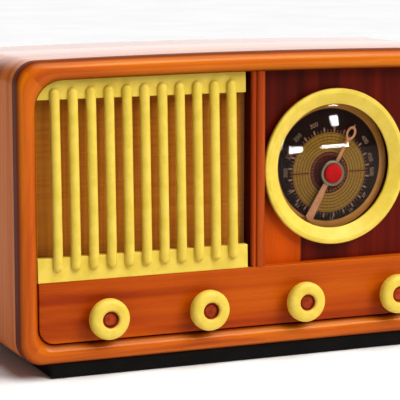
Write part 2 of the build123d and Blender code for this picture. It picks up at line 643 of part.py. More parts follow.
GANG_HALF = 30.0
GANG_LOW = PIVOT_Z - 30.0
GANG_HIGH = PIVOT_Z + 14.0
END_PLATE = 2.0
with BuildPart() as gang_frame:
    with BuildSketch(behind(GANG_BACK)):
        with Locations((DIAL_X, (GANG_LOW + GANG_HIGH) / 2)):
            Rectangle(2 * GANG_HALF, GANG_HIGH - GANG_LOW)
        with Locations((DIAL_X, PIVOT_Z)):
            Circle(SHAFT_R + SHAFT_FIT, mode=Mode.SUBTRACT)
    extrude(amount=END_PLATE)
    with BuildSketch(behind(GANG_FRONT + END_PLATE)):
        with Locations((DIAL_X, (GANG_LOW + GANG_HIGH) / 2)):
            Rectangle(2 * GANG_HALF, GANG_HIGH - GANG_LOW)
        with Locations((DIAL_X, PIVOT_Z)):
            Circle(SHAFT_R + SHAFT_FIT, mode=Mode.SUBTRACT)
    extrude(amount=END_PLATE)
    with BuildSketch(level(GANG_LOW)):
        with Locations((DIAL_X, (GANG_FRONT + GANG_BACK) / 2)):
            Rectangle(2 * GANG_HALF, GANG_LENGTH)
    extrude(amount=END_PLATE)
    with BuildSketch(level(PIVOT_Z + 6)):
        for x in (DIAL_X - GANG_HALF + 2, DIAL_X + GANG_HALF - 2):
            with Locations((x, (GANG_FRONT + GANG_BACK) / 2)):
                Rectangle(3, GANG_LENGTH)
    extrude(amount=6)
    for i in range(ROTOR_VANES - 1):
        with BuildSketch(behind(first_vane + (i + 0.5) * VANE_PITCH + VANE)):
            with Locations((DIAL_X, PIVOT_Z + 9)):
                Rectangle(2 * GANG_HALF - 3, 6)
        extrude(amount=VANE)
gang_frame.part.label = "gang_frame"
export_step(gang_frame.part, "parts/gang_frame.step")

BRACKET_HALF = 34.0
with BuildPart() as gang_bracket:
    with BuildSketch(behind(GANG_BACK - 2)):
        with BuildLine():
            Polyline((DIAL_X - BRACKET_HALF, CHASSIS_TOP), (DIAL_X - BRACKET_HALF, GANG_LOW),
                     (DIAL_X + BRACKET_HALF, GANG_LOW), (DIAL_X + BRACKET_HALF, CHASSIS_TOP),
                     (DIAL_X + BRACKET_HALF - SHEET, CHASSIS_TOP),
                     (DIAL_X + BRACKET_HALF - SHEET, GANG_LOW - SHEET),
                     (DIAL_X - BRACKET_HALF + SHEET, GANG_LOW - SHEET),
                     (DIAL_X - BRACKET_HALF + SHEET, CHASSIS_TOP), close=True)
        make_face()
    extrude(amount=GANG_LENGTH - 4)
gang_bracket.part.label = "gang_bracket"
export_step(gang_bracket.part, "parts/gang_bracket.step")


def cord_loop(extra):
    """The belt-shaped face inside the drive cord, grown or shrunk a little."""
    with BuildSketch() as loop:
        with Locations((DIAL_X, PIVOT_Z)):
            Circle(DRUM_CORD_R + extra)
        with Locations((TUNING_X, KNOB_Z)):
            Circle(SPINDLE_CORD_R + extra)
        make_hull()
    return loop.sketch


with BuildPart() as dial_cord:
    with BuildSketch(behind(CORD_PLANE + CORD_THICKNESS / 2)):
        add(cord_loop(CORD_THICKNESS / 2))
        add(cord_loop(-CORD_THICKNESS / 2), mode=Mode.SUBTRACT)
    extrude(amount=CORD_THICKNESS)
dial_cord.part.label = "dial_cord"
export_step(dial_cord.part, "parts/dial_cord.step")

# ----------------------------------------------------------------- loudspeaker
FLANGE = 2.0
BASKET_WALL = 1.5
BASKET_BACK = BAFFLE_BACK + 38.0
BASKET_NECK_R = MAGNET_R - 4.0
CONE_FRONT = BAFFLE_BACK + 1.2
CONE_BACK = BAFFLE_BACK + 25.0
PAPER = 0.9
COIL_WALL = 0.6
COIL_END = BASKET_BACK + 10.0
COIL_CLEAR = 0.5
with BuildPart() as speaker_basket:
    with BuildSketch(turning_plane(BAY_CENTRE, SPEAKER_Z)):
        with BuildLine():
            Polyline((CONE_R + 4, BAFFLE_BACK), (SPEAKER_R, BAFFLE_BACK), (SPEAKER_R, BAFFLE_BACK + FLANGE),
                     (CONE_R + 4 + BASKET_WALL, BAFFLE_BACK + FLANGE), (BASKET_NECK_R + 2, BASKET_BACK),
                     (COIL_R + 3, BASKET_BACK), (COIL_R + 3, BASKET_BACK - BASKET_WALL),
                     (BASKET_NECK_R, BASKET_BACK - BASKET_WALL), (CONE_R + 4, BAFFLE_BACK + FLANGE), close=True)
        make_face()
    revolve(axis=turning_axis(BAY_CENTRE, SPEAKER_Z))
    with BuildSketch(behind(BASKET_BACK - 6)):
        with Locations((BAY_CENTRE, SPEAKER_Z)):
            with PolarLocations(47, 4, start_angle=45):
                SlotOverall(46, 22, rotation=90)
    extrude(amount=22, mode=Mode.SUBTRACT)
speaker_basket.part.label = "speaker_basket"
export_step(speaker_basket.part, "parts/speaker_basket.step")

with BuildPart() as speaker_cone:
    with BuildSketch(turning_plane(BAY_CENTRE, SPEAKER_Z)):
        with BuildLine():
            Polyline((CONE_R, CONE_FRONT), (CONE_R, CONE_FRONT + PAPER), (COIL_R, CONE_BACK + PAPER),
                     (COIL_R, COIL_END), (COIL_R - COIL_WALL, COIL_END), (COIL_R - COIL_WALL, CONE_BACK))
            Line((COIL_R - COIL_WALL, CONE_BACK), (0, CONE_BACK - 4))
            Polyline((0, CONE_BACK - 4), (0, CONE_BACK - 4 - PAPER), (COIL_R, CONE_BACK - PAPER),
                     (CONE_R, CONE_FRONT))
        make_face()
    revolve(axis=turning_axis(BAY_CENTRE, SPEAKER_Z))
speaker_cone.part.label = "speaker_cone"
export_step(speaker_cone.part, "parts/speaker_cone.step")

MAGNET_LENGTH = 28.0
GAP_DEPTH = 14.0
with BuildPart() as speaker_magnet:
    with BuildSketch(turning_plane(BAY_CENTRE, SPEAKER_Z)):
        with BuildLine():
            Polyline((0, BASKET_BACK), (COIL_R - COIL_WALL - COIL_CLEAR, BASKET_BACK),
                     (COIL_R - COIL_WALL - COIL_CLEAR, BASKET_BACK + GAP_DEPTH),
                     (COIL_R + COIL_CLEAR, BASKET_BACK + GAP_DEPTH), (COIL_R + COIL_CLEAR, BASKET_BACK),
                     (MAGNET_R, BASKET_BACK), (MAGNET_R, BASKET_BACK + MAGNET_LENGTH),
                     (0, BASKET_BACK + MAGNET_LENGTH), close=True)
        make_face()
    revolve(axis=turning_axis(BAY_CENTRE, SPEAKER_Z))
speaker_magnet.part.label = "speaker_magnet"
export_step(speaker_magnet.part, "parts/speaker_magnet.step")

# --------------------------------------------------------- chassis and controls
LUG = 26.0
BUSH_R = 4.75
with BuildPart() as chassis:
    with BuildSketch(level(INSIDE_LOW)):
        with Locations((0, (CHASSIS_FRONT + CHASSIS_BACK) / 2)):
            Rectangle(CHASSIS_WIDTH, CHASSIS_BACK - CHASSIS_FRONT)
    extrude(amount=CHASSIS_HEIGHT)
    with BuildSketch(level(INSIDE_LOW)):
        with Locations((0, (CHASSIS_FRONT + CHASSIS_BACK) / 2)):
            Rectangle(CHASSIS_WIDTH - 2 * SHEET, CHASSIS_BACK - CHASSIS_FRONT - 2 * SHEET)
    extrude(amount=CHASSIS_HEIGHT - SHEET, mode=Mode.SUBTRACT)
    with BuildSketch(level(INSIDE_LOW)):
        with Locations(*BOLT_PLACES):
            Rectangle(LUG, LUG)
        with Locations(*BOLT_PLACES):
            Circle(BOLT_R, mode=Mode.SUBTRACT)
    extrude(amount=SHEET)
    with BuildSketch(behind(CHASSIS_FRONT + SHEET)):
        with Locations((VOLUME_X, KNOB_Z), (TONE_X, KNOB_Z), (WAVE_X, KNOB_Z)):
            Circle(BUSH_R)
        with Locations((TUNING_X, KNOB_Z)):
            Circle(SHAFT_R + SHAFT_FIT)
    extrude(amount=SHEET, mode=Mode.SUBTRACT)
chassis.part.label = "chassis"
export_step(chassis.part, "parts/chassis.step")

BOLT_HEAD_R = 4.5
BOLT_HEAD = 3.0
with BuildPart() as chassis_bolts:
    with BuildSketch(level(UNDERSIDE - BOLT_HEAD)):
        with Locations(*BOLT_PLACES):
            RegularPolygon(BOLT_HEAD_R, 6)
    extrude(amount=BOLT_HEAD)
    with BuildSketch(level(UNDERSIDE)):
        with Locations(*BOLT_PLACES):
            Circle(BOLT_R)
    extrude(amount=WALL + 8)
chassis_bolts.part.label = "chassis_bolts"
export_step(chassis_bolts.part, "parts/chassis_bolts.step")

POT_R = 14.0
POT_LENGTH = 12.0
WAFER_R = 19.0
WAFER_LENGTH = 14.0
SHAFT_END_GAP = 0.3
BUSH_LENGTH = 5.0
NUT_R = 7.0
NUT = 2.4


# Each kind of control: its places, radius of its can, length behind the chassis front.
CONTROLS = {
    "potentiometers": ([VOLUME_X, TONE_X], POT_R, POT_LENGTH),
    "wave_switch": ([WAVE_X], WAFER_R, WAFER_LENGTH),
}
CHASSIS_INNER = CHASSIS_FRONT + SHEET
for name, (xs, can_r, can_length) in CONTROLS.items():
    places = [(x, KNOB_Z) for x in xs]
    with BuildPart() as control:
        with BuildSketch(behind(CHASSIS_INNER + can_length)):
            with Locations(*places):
                Circle(can_r)
        extrude(amount=can_length)
        with BuildSketch(behind(CHASSIS_INNER)):
            with Locations(*places):
                Circle(BUSH_R)
        extrude(amount=BUSH_LENGTH + SHEET)
        with BuildSketch(behind(CHASSIS_FRONT)):
            with Locations(*places):
                RegularPolygon(NUT_R, 6)
        extrude(amount=NUT)
        with BuildSketch(behind(SHAFT_END + SHAFT_END_GAP)):
            with Locations(*places):
                Circle(SHAFT_R + SHAFT_FIT)
        extrude(amount=SHAFT_END - BAFFLE_BACK, mode=Mode.SUBTRACT)
    control.part.label = name
    export_step(control.part, f"parts/{name}.step")

VALVE_BASE_R = 15.0
VALVE_BASE = 14.0
VALVE_R = 14.0
VALVE_HEIGHT = 66.0
VALVE_DEPTH = CHASSIS_BACK - 22.0
VALVE_XS = [-20.0, 26.0, 72.0, 118.0, 160.0]
with BuildPart() as valve_bases:
    with BuildSketch(level(CHASSIS_TOP)):
        with Locations(*[(x, VALVE_DEPTH) for x in VALVE_XS]):
            Circle(VALVE_BASE_R)
    extrude(amount=VALVE_BASE)
valve_bases.part.label = "valve_bases"
export_step(valve_bases.part, "parts/valve_bases.step")

with BuildPart() as valve_glass:
    with BuildSketch(level(CHASSIS_TOP + VALVE_BASE)):
        with Locations(*[(x, VALVE_DEPTH) for x in VALVE_XS]):
            Circle(VALVE_R)
    extrude(amount=VALVE_HEIGHT)
    fillet(valve_glass.faces().group_by(Axis.Z)[-1].edges(), radius=12)
valve_glass.part.label = "valve_glass"
export_step(valve_glass.part, "parts/valve_glass.step")

CAN_SIDE = 32.0
CAN_HEIGHT = 78.0
CAN_PLACES = [(20.0, 84.0), (158.0, 84.0)]
SMOOTHING_R = 13.0
SMOOTHING_HEIGHT = 72.0
SMOOTHING_PLACE = (-14.0, 84.0)
with BuildPart() as aluminium_cans:
    with BuildSketch(level(CHASSIS_TOP)):
        with Locations(*CAN_PLACES):
            RectangleRounded(CAN_SIDE, CAN_SIDE, 4)
    extrude(amount=CAN_HEIGHT)
    with BuildSketch(level(CHASSIS_TOP)):
        with Locations(SMOOTHING_PLACE):
            Circle(SMOOTHING_R)
    extrude(amount=SMOOTHING_HEIGHT)
aluminium_cans.part.label = "aluminium_cans"
export_step(aluminium_cans.part, "parts/aluminium_cans.step")

# Each transformer: x, depth of its middle, width, length and height. A laminated
# core carries a winding that stands out in front and behind.
TRANSFORMERS = {
    "power_transformer": (-140.0, CHASSIS_BACK - 27.0, 70.0, 50.0, 60.0),
    "output_transformer": (-72.0, CHASSIS_BACK - 24.0, 44.0, 32.0, 38.0),
}
for name, (x, depth, width, length, height) in TRANSFORMERS.items():
    with BuildPart() as transformer:
        with BuildSketch(level(CHASSIS_TOP)):
            with Locations((x, depth)):
                Rectangle(width, length / 2)
        extrude(amount=height)
        with BuildSketch(level(CHASSIS_TOP + height / 5)):
            with Locations((x, depth)):
                RectangleRounded(width * 2 / 3, length, 4)
        extrude(amount=height * 3 / 5)
    transformer.part.label = name
    export_step(transformer.part, f"parts/{name}.step")

# ------------------------------------------------------------------- the back
BATTEN_X = INSIDE_HALF - BATTEN / 2
BATTEN_LOW = INSIDE_LOW + 20.0
BATTEN_HIGH = INSIDE_TOP - 30.0
SCREW_R = 1.75
SCREW_LENGTH = 10.0
SCREW_HEAD_R = 4.0
SCREW_HEAD = 2.2
SCREW_ZS = [BATTEN_LOW + 14, (BATTEN_LOW + BATTEN_HIGH) / 2, BATTEN_HIGH - 14]
SCREW_PLACES = [(side * BATTEN_X, z) for side in (-1, 1) for z in SCREW_ZS]
with BuildPart() as back_battens:
    with BuildSketch(behind(BACK_COVER_DEPTH)):
        with Locations(*[(side * BATTEN_X, (BATTEN_LOW + BATTEN_HIGH) / 2) for side in (-1, 1)]):
            Rectangle(BATTEN, BATTEN_HIGH - BATTEN_LOW)
        with Locations(*SCREW_PLACES):
            Circle(SCREW_R, mode=Mode.SUBTRACT)
    extrude(amount=BATTEN)
back_battens.part.label = "back_battens"
export_step(back_battens.part, "parts/back_battens.step")

VENT_LENGTH = 26.0
VENT_WIDTH = 5.0
VENT_ROWS_Z = 214.0
LOW_VENTS_Z = 96.0
AERIAL_X = -120.0
SOCKET_PITCH = 19.0
SOCKET_XS = [AERIAL_X + i * SOCKET_PITCH for i in (-1, 0, 1)]
SOCKET_R = 3.4
GLAND_X = 140.0
GLAND_NECK_R = 6.5
with BuildPart() as back_cover:
    with BuildSketch(behind(BACK_FACE)):
        add(inside_face(BOARD_GAP))
        with Locations(*SCREW_PLACES):
            Circle(SCREW_R, mode=Mode.SUBTRACT)
        with Locations((0, VENT_ROWS_Z)):
            with GridLocations(36, 15, 10, 5):
                SlotOverall(VENT_LENGTH, VENT_WIDTH, mode=Mode.SUBTRACT)
        with Locations((0, LOW_VENTS_Z)):
            with GridLocations(36, 15, 10, 2):
                SlotOverall(VENT_LENGTH, VENT_WIDTH, mode=Mode.SUBTRACT)
        with Locations(*[(x, TERMINAL_Z) for x in SOCKET_XS]):
            Circle(SOCKET_R, mode=Mode.SUBTRACT)
        with Locations((GLAND_X, TERMINAL_Z)):
            Circle(GLAND_NECK_R, mode=Mode.SUBTRACT)
    extrude(amount=BACK_COVER_THICKNESS)
back_cover.part.label = "back_cover"
export_step(back_cover.part, "parts/back_cover.step")

with BuildPart() as back_screws:
    with BuildSketch(behind(BACK_FACE)):
        with Locations(*SCREW_PLACES):
            Circle(SCREW_R)
    extrude(amount=SCREW_LENGTH)
    with BuildSketch(behind(BACK_FACE + SCREW_HEAD)):
        with Locations(*SCREW_PLACES):
            Circle(SCREW_HEAD_R)
    extrude(amount=SCREW_HEAD)
    fillet(back_screws.faces().group_by(Axis.Y)[-1].edges(), radius=1.8)
back_screws.part.label = "back_screws"
export_step(back_screws.part, "parts/back_screws.step")

with BuildPart() as aerial_strip:
    with BuildSketch(behind(CABINET_DEPTH)):
        with Locations((AERIAL_X, TERMINAL_Z)):
            RectangleRounded(3 * SOCKET_PITCH + 6, 20, 3)
        with Locations(*[(x, TERMINAL_Z) for x in SOCKET_XS]):
            Circle(SOCKET_R, mode=Mode.SUBTRACT)
    extrude(amount=BACK_INSET)
aerial_strip.part.label = "aerial_strip"
export_step(aerial_strip.part, "parts/aerial_strip.step")

with BuildPart() as aerial_sockets:
    with BuildSketch(behind(CABINET_DEPTH)):
        with Locations(*[(x, TERMINAL_Z) for x in SOCKET_XS]):
            Circle(SOCKET_R)
            Circle(SOCKET_BORE_R, mode=Mode.SUBTRACT)
    extrude(amount=SOCKET_LENGTH)
aerial_sockets.part.label = "aerial_sockets"
export_step(aerial_sockets.part, "parts/aerial_sockets.step")

GLAND_R = 9.0
GLAND_LIP = 2.2
with BuildPart() as mains_gland:
    with BuildSketch(turning_plane(GLAND_X, TERMINAL_Z)):
        with BuildLine():
            Polyline((GLAND_BORE_R, BACK_COVER_DEPTH - GLAND_LIP), (GLAND_R, BACK_COVER_DEPTH - GLAND_LIP),
                     (GLAND_R, BACK_COVER_DEPTH), (GLAND_NECK_R, BACK_COVER_DEPTH), (GLAND_NECK_R, BACK_FACE),
                     (GLAND_R, BACK_FACE), (GLAND_R, BACK_FACE + GLAND_LIP),
                     (GLAND_BORE_R, BACK_FACE + GLAND_LIP), close=True)
        make_face()
    revolve(axis=turning_axis(GLAND_X, TERMINAL_Z))
mains_gland.part.label = "mains_gland"
export_step(mains_gland.part, "parts/mains_gland.step")

# An open belt round two wheels: two tangents and the arcs they leave covered.
cord_span = sqrt((DIAL_X - TUNING_X) ** 2 + (PIVOT_Z - KNOB_Z) ** 2)
cord_slant = asin((DRUM_CORD_R - SPINDLE_CORD_R) / cord_span)
cord_length = (2 * cord_span * cos(cord_slant) + DRUM_CORD_R * (pi + 2 * cord_slant)
               + SPINDLE_CORD_R * (pi - 2 * cord_slant))
print(f"front of the moulding at y = {FRONT_Y:.2f}, pivot of the pointer at z = {PIVOT_Z:.1f}")
print(f"drive cord: a loop of {cord_length:.0f} mm")
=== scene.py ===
# %% [markdown]
# # A wooden table radio
# The hard facts of this radio, its sizes and what turns on what, are already settled in a CAD model.
# This script loads that model as a fixed frame and dresses it: smoother shapes where the eye rests,
# and a finish for every surface. Lengths here are millimetres, and "depth" counts backwards from
# the front of the half-round moulding, as a cabinet maker would measure it.

import math

import bmesh
import bpy
import numpy as np
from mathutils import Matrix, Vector


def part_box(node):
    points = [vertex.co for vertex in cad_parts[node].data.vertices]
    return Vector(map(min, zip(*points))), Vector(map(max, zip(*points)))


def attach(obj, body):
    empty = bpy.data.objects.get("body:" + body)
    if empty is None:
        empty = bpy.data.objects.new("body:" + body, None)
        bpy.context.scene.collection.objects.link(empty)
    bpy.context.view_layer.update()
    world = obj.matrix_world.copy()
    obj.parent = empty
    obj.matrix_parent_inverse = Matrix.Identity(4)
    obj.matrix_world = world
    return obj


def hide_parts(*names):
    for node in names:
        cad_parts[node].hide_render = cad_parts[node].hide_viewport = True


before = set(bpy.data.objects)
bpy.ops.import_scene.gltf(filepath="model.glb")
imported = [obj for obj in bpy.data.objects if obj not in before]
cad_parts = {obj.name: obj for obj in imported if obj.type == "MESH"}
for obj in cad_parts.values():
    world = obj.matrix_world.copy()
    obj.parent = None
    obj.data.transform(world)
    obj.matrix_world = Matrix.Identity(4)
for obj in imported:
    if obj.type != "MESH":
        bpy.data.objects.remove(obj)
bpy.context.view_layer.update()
MM = 0.001
front_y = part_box("frame_top")[0].y / MM


def reach(*nodes):
    """Lowest and highest corner of some CAD nodes together, in mm, with y as depth behind the front."""
    corners = np.array([[list(c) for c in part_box(n)] for n in nodes]) / MM - (0, front_y, 0)
    return corners[:, 0].min(axis=0), corners[:, 1].max(axis=0)


print("front at y =", round(front_y, 2), "mm, nodes:", len(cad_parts))

# %% [markdown]
# ## Wires: shader maths written as sums
# A material is a chain of nodes, and long chains are easier to read as arithmetic. The class below
# holds one socket, and `+`, `-`, `*`, `/` on it add the Math node that does the sum. Colours and
# places have their own nodes, because a Math node keeps only one number of the three.

# %% A class for shader maths


class Wire:
    """One socket of a material. Sums on it add Math nodes, and node() adds any other node."""

    def __init__(self, tree, socket=None):
        self.tree, self.socket = tree, socket

    def node(self, kind, settings=(), inputs=(), out=0):
        """Adds a node: its settings first, then a number, colour or wire for each socket.
        Returns a wire on one of its outputs."""
        new = self.tree.nodes.new("ShaderNode" + kind)
        for name, value in dict(settings).items():
            if name == "stops":
                while len(new.color_ramp.elements) < len(value):
                    new.color_ramp.elements.new(0.5)
                for element, (position, colour) in zip(new.color_ramp.elements, value):
                    element.position, element.color = position, colour
            else:
                setattr(new, name, value)
        for name, value in dict(inputs).items():
            if isinstance(value, Wire):
                self.tree.links.new(value.socket, new.inputs[name])
            else:
                new.inputs[name].default_value = value
        return Wire(self.tree, new.outputs[out] if len(new.outputs) else None)

    def maths(self, operation, first, second=0.5):
        """One Math node, such as MAXIMUM or SINE, on one or two values."""
        return self.node("Math", {"operation": operation}, {0: first, 1: second})

    def __add__(self, other):
        return self.maths("ADD", self, other)

    def __sub__(self, other):
        return self.maths("SUBTRACT", self, other)

    def __mul__(self, other):
        return self.maths("MULTIPLY", self, other)

    def __truediv__(self, other):
        return self.maths("DIVIDE", self, other)

    def __rsub__(self, other):
        return self.maths("SUBTRACT", other, self)

    __radd__, __rmul__ = __add__, __mul__

    def between(self, low, high):
        """0 below low, 1 above high, and a smooth step from one to the other."""
        return self.node("MapRange", {"interpolation_type": "SMOOTHSTEP"},
                         {"Value": self, "From Min": low, "From Max": high})

    def scaled(self, *size):
        """A place multiplied by a size along each axis."""
        return self.node("VectorMath", {"operation": "MULTIPLY"}, {0: self, 1: size})

    def parts(self):
        """The x, y and z of a place, as three wires."""
        split = self.node("SeparateXYZ", inputs={0: self}).socket.node
        return [Wire(self.tree, s) for s in split.outputs]

    def joined(self, x, y, z):
        """A place made of three values."""
        return self.node("CombineXYZ", inputs={0: x, 1: y, 2: z})

    def noise(self, scale=1.0, detail=2.0, rough=0.5, twist=0.0):
        """Cloudy noise from 0 to 1 at a place."""
        return self.node("TexNoise", inputs={"Vector": self, "Scale": scale, "Detail": detail,
                                             "Roughness": rough, "Distortion": twist})

    def mix(self, amount, first, second):
        """Two colours mixed by an amount."""
        return self.node("Mix", {"data_type": "RGBA"}, {0: amount, 6: first, 7: second}, out=2)

    def ramp(self, *stops):
        """A colour read off a row of (position, colour) stops."""
        return self.node("ValToRGB", {"stops": stops}, {0: self})


def paint(red, green, blue):
    """A colour on a 0 to 255 scale as the linear colour that a shader wants: ((c + 0.055) / 1.055) to the
    power 2.4, where c runs from 0 to 1, and c / 12.92 for the darkest tones."""
    shares = [value / 255 for value in (red, green, blue)]
    return tuple(((c + 0.055) / 1.055) ** 2.4 if c > 10 / 255 else c / 12.92 for c in shares) + (1.0,)


def start(name, layer=None):
    """A new, empty material and a wire on its place: Object coordinates in metres, or a piece's own map."""
    material = bpy.data.materials.new(name)
    material.use_nodes = True
    material.node_tree.nodes.clear()
    wire = Wire(material.node_tree)
    if layer:
        return material, wire.node("UVMap", {"uv_map": layer})
    return material, wire.node("TexCoord", out="Object")


def coat(material, wire, height=None, depth=0.1, **sockets):
    """Ends a material in a Principled shader. height, from 0 to 1, is a relief of depth millimetres."""
    named = {name.replace("_", " "): value for name, value in sockets.items()}
    if height is not None:
        named["Normal"] = wire.node("Bump", inputs={"Strength": 1.0, "Distance": depth * MM,
                                                    "Height": height})
    shader = wire.node("BsdfPrincipled", inputs=named)
    wire.node("OutputMaterial", inputs={"Surface": shader})
    return material


print("a mid grey of 128 is", round(paint(128, 128, 128)[0], 3), "in linear light")

# %% [markdown]
# ## Wood
# Lacquered veneer has three sizes of detail: a slow figure of lighter and darker bands, fine fibres
# that run with the board, and pores like short dark dashes. Noise that is stretched along the grain
# gives all three. On a straight board the grain can follow the object's axes; on the bent wrap and
# the mouldings it follows a map that is made with the mesh, so it turns every corner with the wood.
# The lacquer is a clear coat, almost mirror smooth, over a rougher wood.

# %% Wood finishes
GRAIN_MAP = "grain"


def grain_place(wire, along):
    """The place with the grain's own direction first: x, y or z of the object, or a map's u."""
    x, y, z = wire.parts()
    order = {"x": (x, y, z), "y": (y, x, z), "z": (z, x, y), "map": (x, y, z)}[along]
    return wire.joined(*order)


def wood(name, dark, middle, light, along="x", shift=0.0, bands=26.0, contrast=0.5, patch=None, clear=0.08,
         lacquer=0.45, polished=None):
    """Lacquered veneer in three tones. patch may give a mask and a colour for another area, and polished a
    height above which the lacquer is full. Relief is in millimetres."""
    material, wire = start(name, GRAIN_MAP if along == "map" else None)
    place = grain_place(wire, along)
    moved = place.node("VectorMath", {"operation": "ADD"}, {0: place, 1: (shift, shift * 1.7, shift * 0.6)})
    figure = moved.scaled(2.6, bands, bands).noise(1.0, 3.0, 0.55, 0.9)
    band = moved.scaled(1.1, bands * 3.2, bands * 3.2).noise(1.0, 2.0, 0.5, 0.4)
    fibre = moved.scaled(11, 620, 620).noise(1.0, 2.0, 0.6)
    pore = moved.scaled(95, 2300, 2300).noise(1.0, 1.0, 0.5).between(0.66, 0.74)
    tone = figure * 0.6 + band * 0.4
    colour = tone.ramp((0.34, dark), (0.5, middle), (0.66, light))
    colour = wire.mix((fibre - 0.5) * contrast + 0.16, colour, dark)
    if patch:
        mask, patch_colour = patch(wire)
        colour = wire.mix(mask, colour, wire.mix((band - 0.35) * 0.8, patch_colour, dark))
        lacquer = (1 - mask * 0.75) * lacquer
    colour = wire.mix(pore * 0.28, colour, tuple(c * 0.35 for c in dark[:3]) + (1.0,))
    relief = fibre * 0.35 + (1 - pore) * 0.65
    if polished:
        height = wire.node("TexCoord", out="Object").parts()[2]
        lacquer = lacquer + height.between(polished - 0.008, polished) * (1 - lacquer)
    return coat(material, wire, relief, 0.012, Base_Color=colour, Roughness=0.42 + figure * 0.2,
                Coat_Weight=lacquer, Coat_Roughness=clear, Coat_IOR=1.9 if polished else 1.5,
                Specular_IOR_Level=0.1)


polished_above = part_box("cabinet_top")[1].z - 7 * MM
cabinet_veneer = wood("cabinet_veneer", paint(160, 70, 16), paint(208, 110, 30), paint(226, 134, 46),
                      along="map", bands=30.0, clear=0.14, lacquer=0.2, polished=polished_above)
# Distances across the half-round, in mm, over which the painted edge shade fades out and then back in.
OUTER_SHADE, INNER_SHADE = (10.0, 20.0), (26.0, 37.0)


def painted_edge_shade(wire):
    """Painted shade: a darker, redder colour along both edges of the half-round, where the round turns away
    from the light.
    """
    across = wire.parts()[1] * 1000
    return 1 - across.between(*OUTER_SHADE) * (1 - across.between(*INNER_SHADE)), paint(84, 14, 0)


# The moulding wood carries painted shade along both edges of its half-round, from the function above.
moulding_wood = wood("moulding_wood", paint(160, 66, 1), paint(198, 102, 3), paint(222, 138, 14), along="map",
                     shift=3.1, bands=44.0, contrast=0.5, lacquer=0.3, clear=0.16, patch=painted_edge_shade)
fascia_veneer = wood("fascia_veneer", paint(140, 48, 1), paint(175, 78, 2), paint(196, 100, 7),
                     along="x", shift=1.3, bands=34.0, contrast=0.35, lacquer=0.12)


def shaded_flank(wire):
    """Painted shade: the side of the post darkened where it goes back into the grille."""
    depth = wire.parts()[1]
    return depth.between((front_y + 9.5) * MM, (front_y + 10.5) * MM), paint(70, 14, 4)


post_wood = wood("post_wood", paint(112, 34, 1), paint(160, 62, 3), paint(196, 98, 14),
                 along="z", shift=5.2, bands=60.0, contrast=0.3, patch=shaded_flank, lacquer=0.25)


LIGHTER_EDGE, LIGHTER_FADE = (44.5, 47.0), (0.135, 0.2)


def lighter_lower_left(wire):
    """A lighter, more orange area low on the left of the dial panel, with a straight edge on its right."""
    low = reach("dial_panel")[0]
    x, _, z = wire.parts()
    wave = wire.scaled(30, 30, 12).noise() * 0.014
    right = 1 - (x + wave * 0.25).between(*[(low[0] + edge) * MM for edge in LIGHTER_EDGE])
    height = 1 - (z + wave * 2.0).between(*LIGHTER_FADE)
    return right * height, paint(196, 84, 3)


dark_veneer = wood("dark_veneer", paint(52, 8, 1), paint(96, 18, 1), paint(128, 36, 2), along="z", shift=7.7,
                   bands=22.0, contrast=0.5, patch=lighter_lower_left, lacquer=0.06)
plywood = wood("plain_ply", paint(150, 108, 66), paint(186, 146, 98), paint(208, 170, 120),
               along="x", shift=9.0, bands=20.0, clear=0.5)
print("wood finishes:", len(bpy.data.materials), "- top polished above z =", round(polished_above, 3), "m")

# %% [markdown]
# ## Plastics, metals, cloth and the rest
# Old cream plastic is not one flat yellow. It is a little cloudy, its gloss changes from place to
# place where hands have been, and moulding leaves a faint orange peel. Each finish below starts
# from one colour, and then noise moves its colour, its roughness and its relief a little.

# %% Plastic, metal, paint and paper


def mottled(name, base, other, grain=45.0, rough=(0.25, 0.4), relief=0.01, peel=400.0, **sockets):
    """One colour that drifts into another in soft clouds, with a fine relief."""
    material, wire = start(name)
    cloud = wire.noise(grain, 3.0, 0.55, 0.2)
    fine = wire.noise(peel, 2.0)
    colour = wire.mix(cloud.between(0.35, 0.65), base, other)
    return coat(material, wire, fine, relief, Base_Color=colour,
                Roughness=rough[0] + (rough[1] - rough[0]) * cloud, **sockets)


cream_plastic = mottled("cream_plastic", paint(210, 184, 72), paint(220, 194, 86), grain=60.0,
                        rough=(0.36, 0.5), relief=0.02, Specular_IOR_Level=0.3)
brown_plastic = mottled("brown_plastic", paint(164, 66, 20), paint(130, 44, 10), 160.0, (0.35, 0.5),
                        Specular_IOR_Level=0.2)
red_plastic = mottled("red_plastic", paint(200, 0, 0), paint(180, 0, 0), 90.0, (0.4, 0.5), 0.004,
                      Specular_IOR_Level=0.08)
black_moulding = mottled("black_moulding", paint(22, 20, 20), paint(34, 30, 28), 120.0, (0.3, 0.5))
black_paint = mottled("black_paint", paint(10, 9, 8), paint(18, 15, 13), 60.0, (0.5, 0.7), 0.03,
                      Specular_IOR_Level=0.15)
black_iron = mottled("black_iron", paint(26, 26, 28), paint(44, 42, 42), 80.0, (0.4, 0.6), 0.05)
black_rubber = mottled("black_rubber", paint(24, 23, 23), paint(34, 33, 33), 150.0, (0.6, 0.8), 0.05)
brown_laminate = mottled("brown_laminate", paint(122, 74, 36), paint(142, 92, 48), 300.0, (0.3, 0.5))
cone_paper = mottled("cone_paper", paint(60, 54, 48), paint(78, 70, 62), 220.0, (0.85, 0.95), 0.06, 900.0)
felt = mottled("felt", paint(70, 66, 58), paint(92, 86, 76), 900.0, (0.9, 1.0), 0.2, 3000.0)


BRUSH_RELIEF = 0.004


def metal(name, base, other, rough=(0.25, 0.4), brush=(900, 900, 900)):
    """Metal with a brushed or rolled grain: noise stretched along the brush."""
    material, wire = start(name)
    cloud = wire.noise(60.0, 3.0)
    lines = wire.scaled(*brush).noise(1.0, 2.0)
    return coat(material, wire, lines, BRUSH_RELIEF, Base_Color=wire.mix(cloud, base, other), Metallic=1.0,
                Roughness=rough[0] + (rough[1] - rough[0]) * (cloud * 0.5 + lines * 0.5))


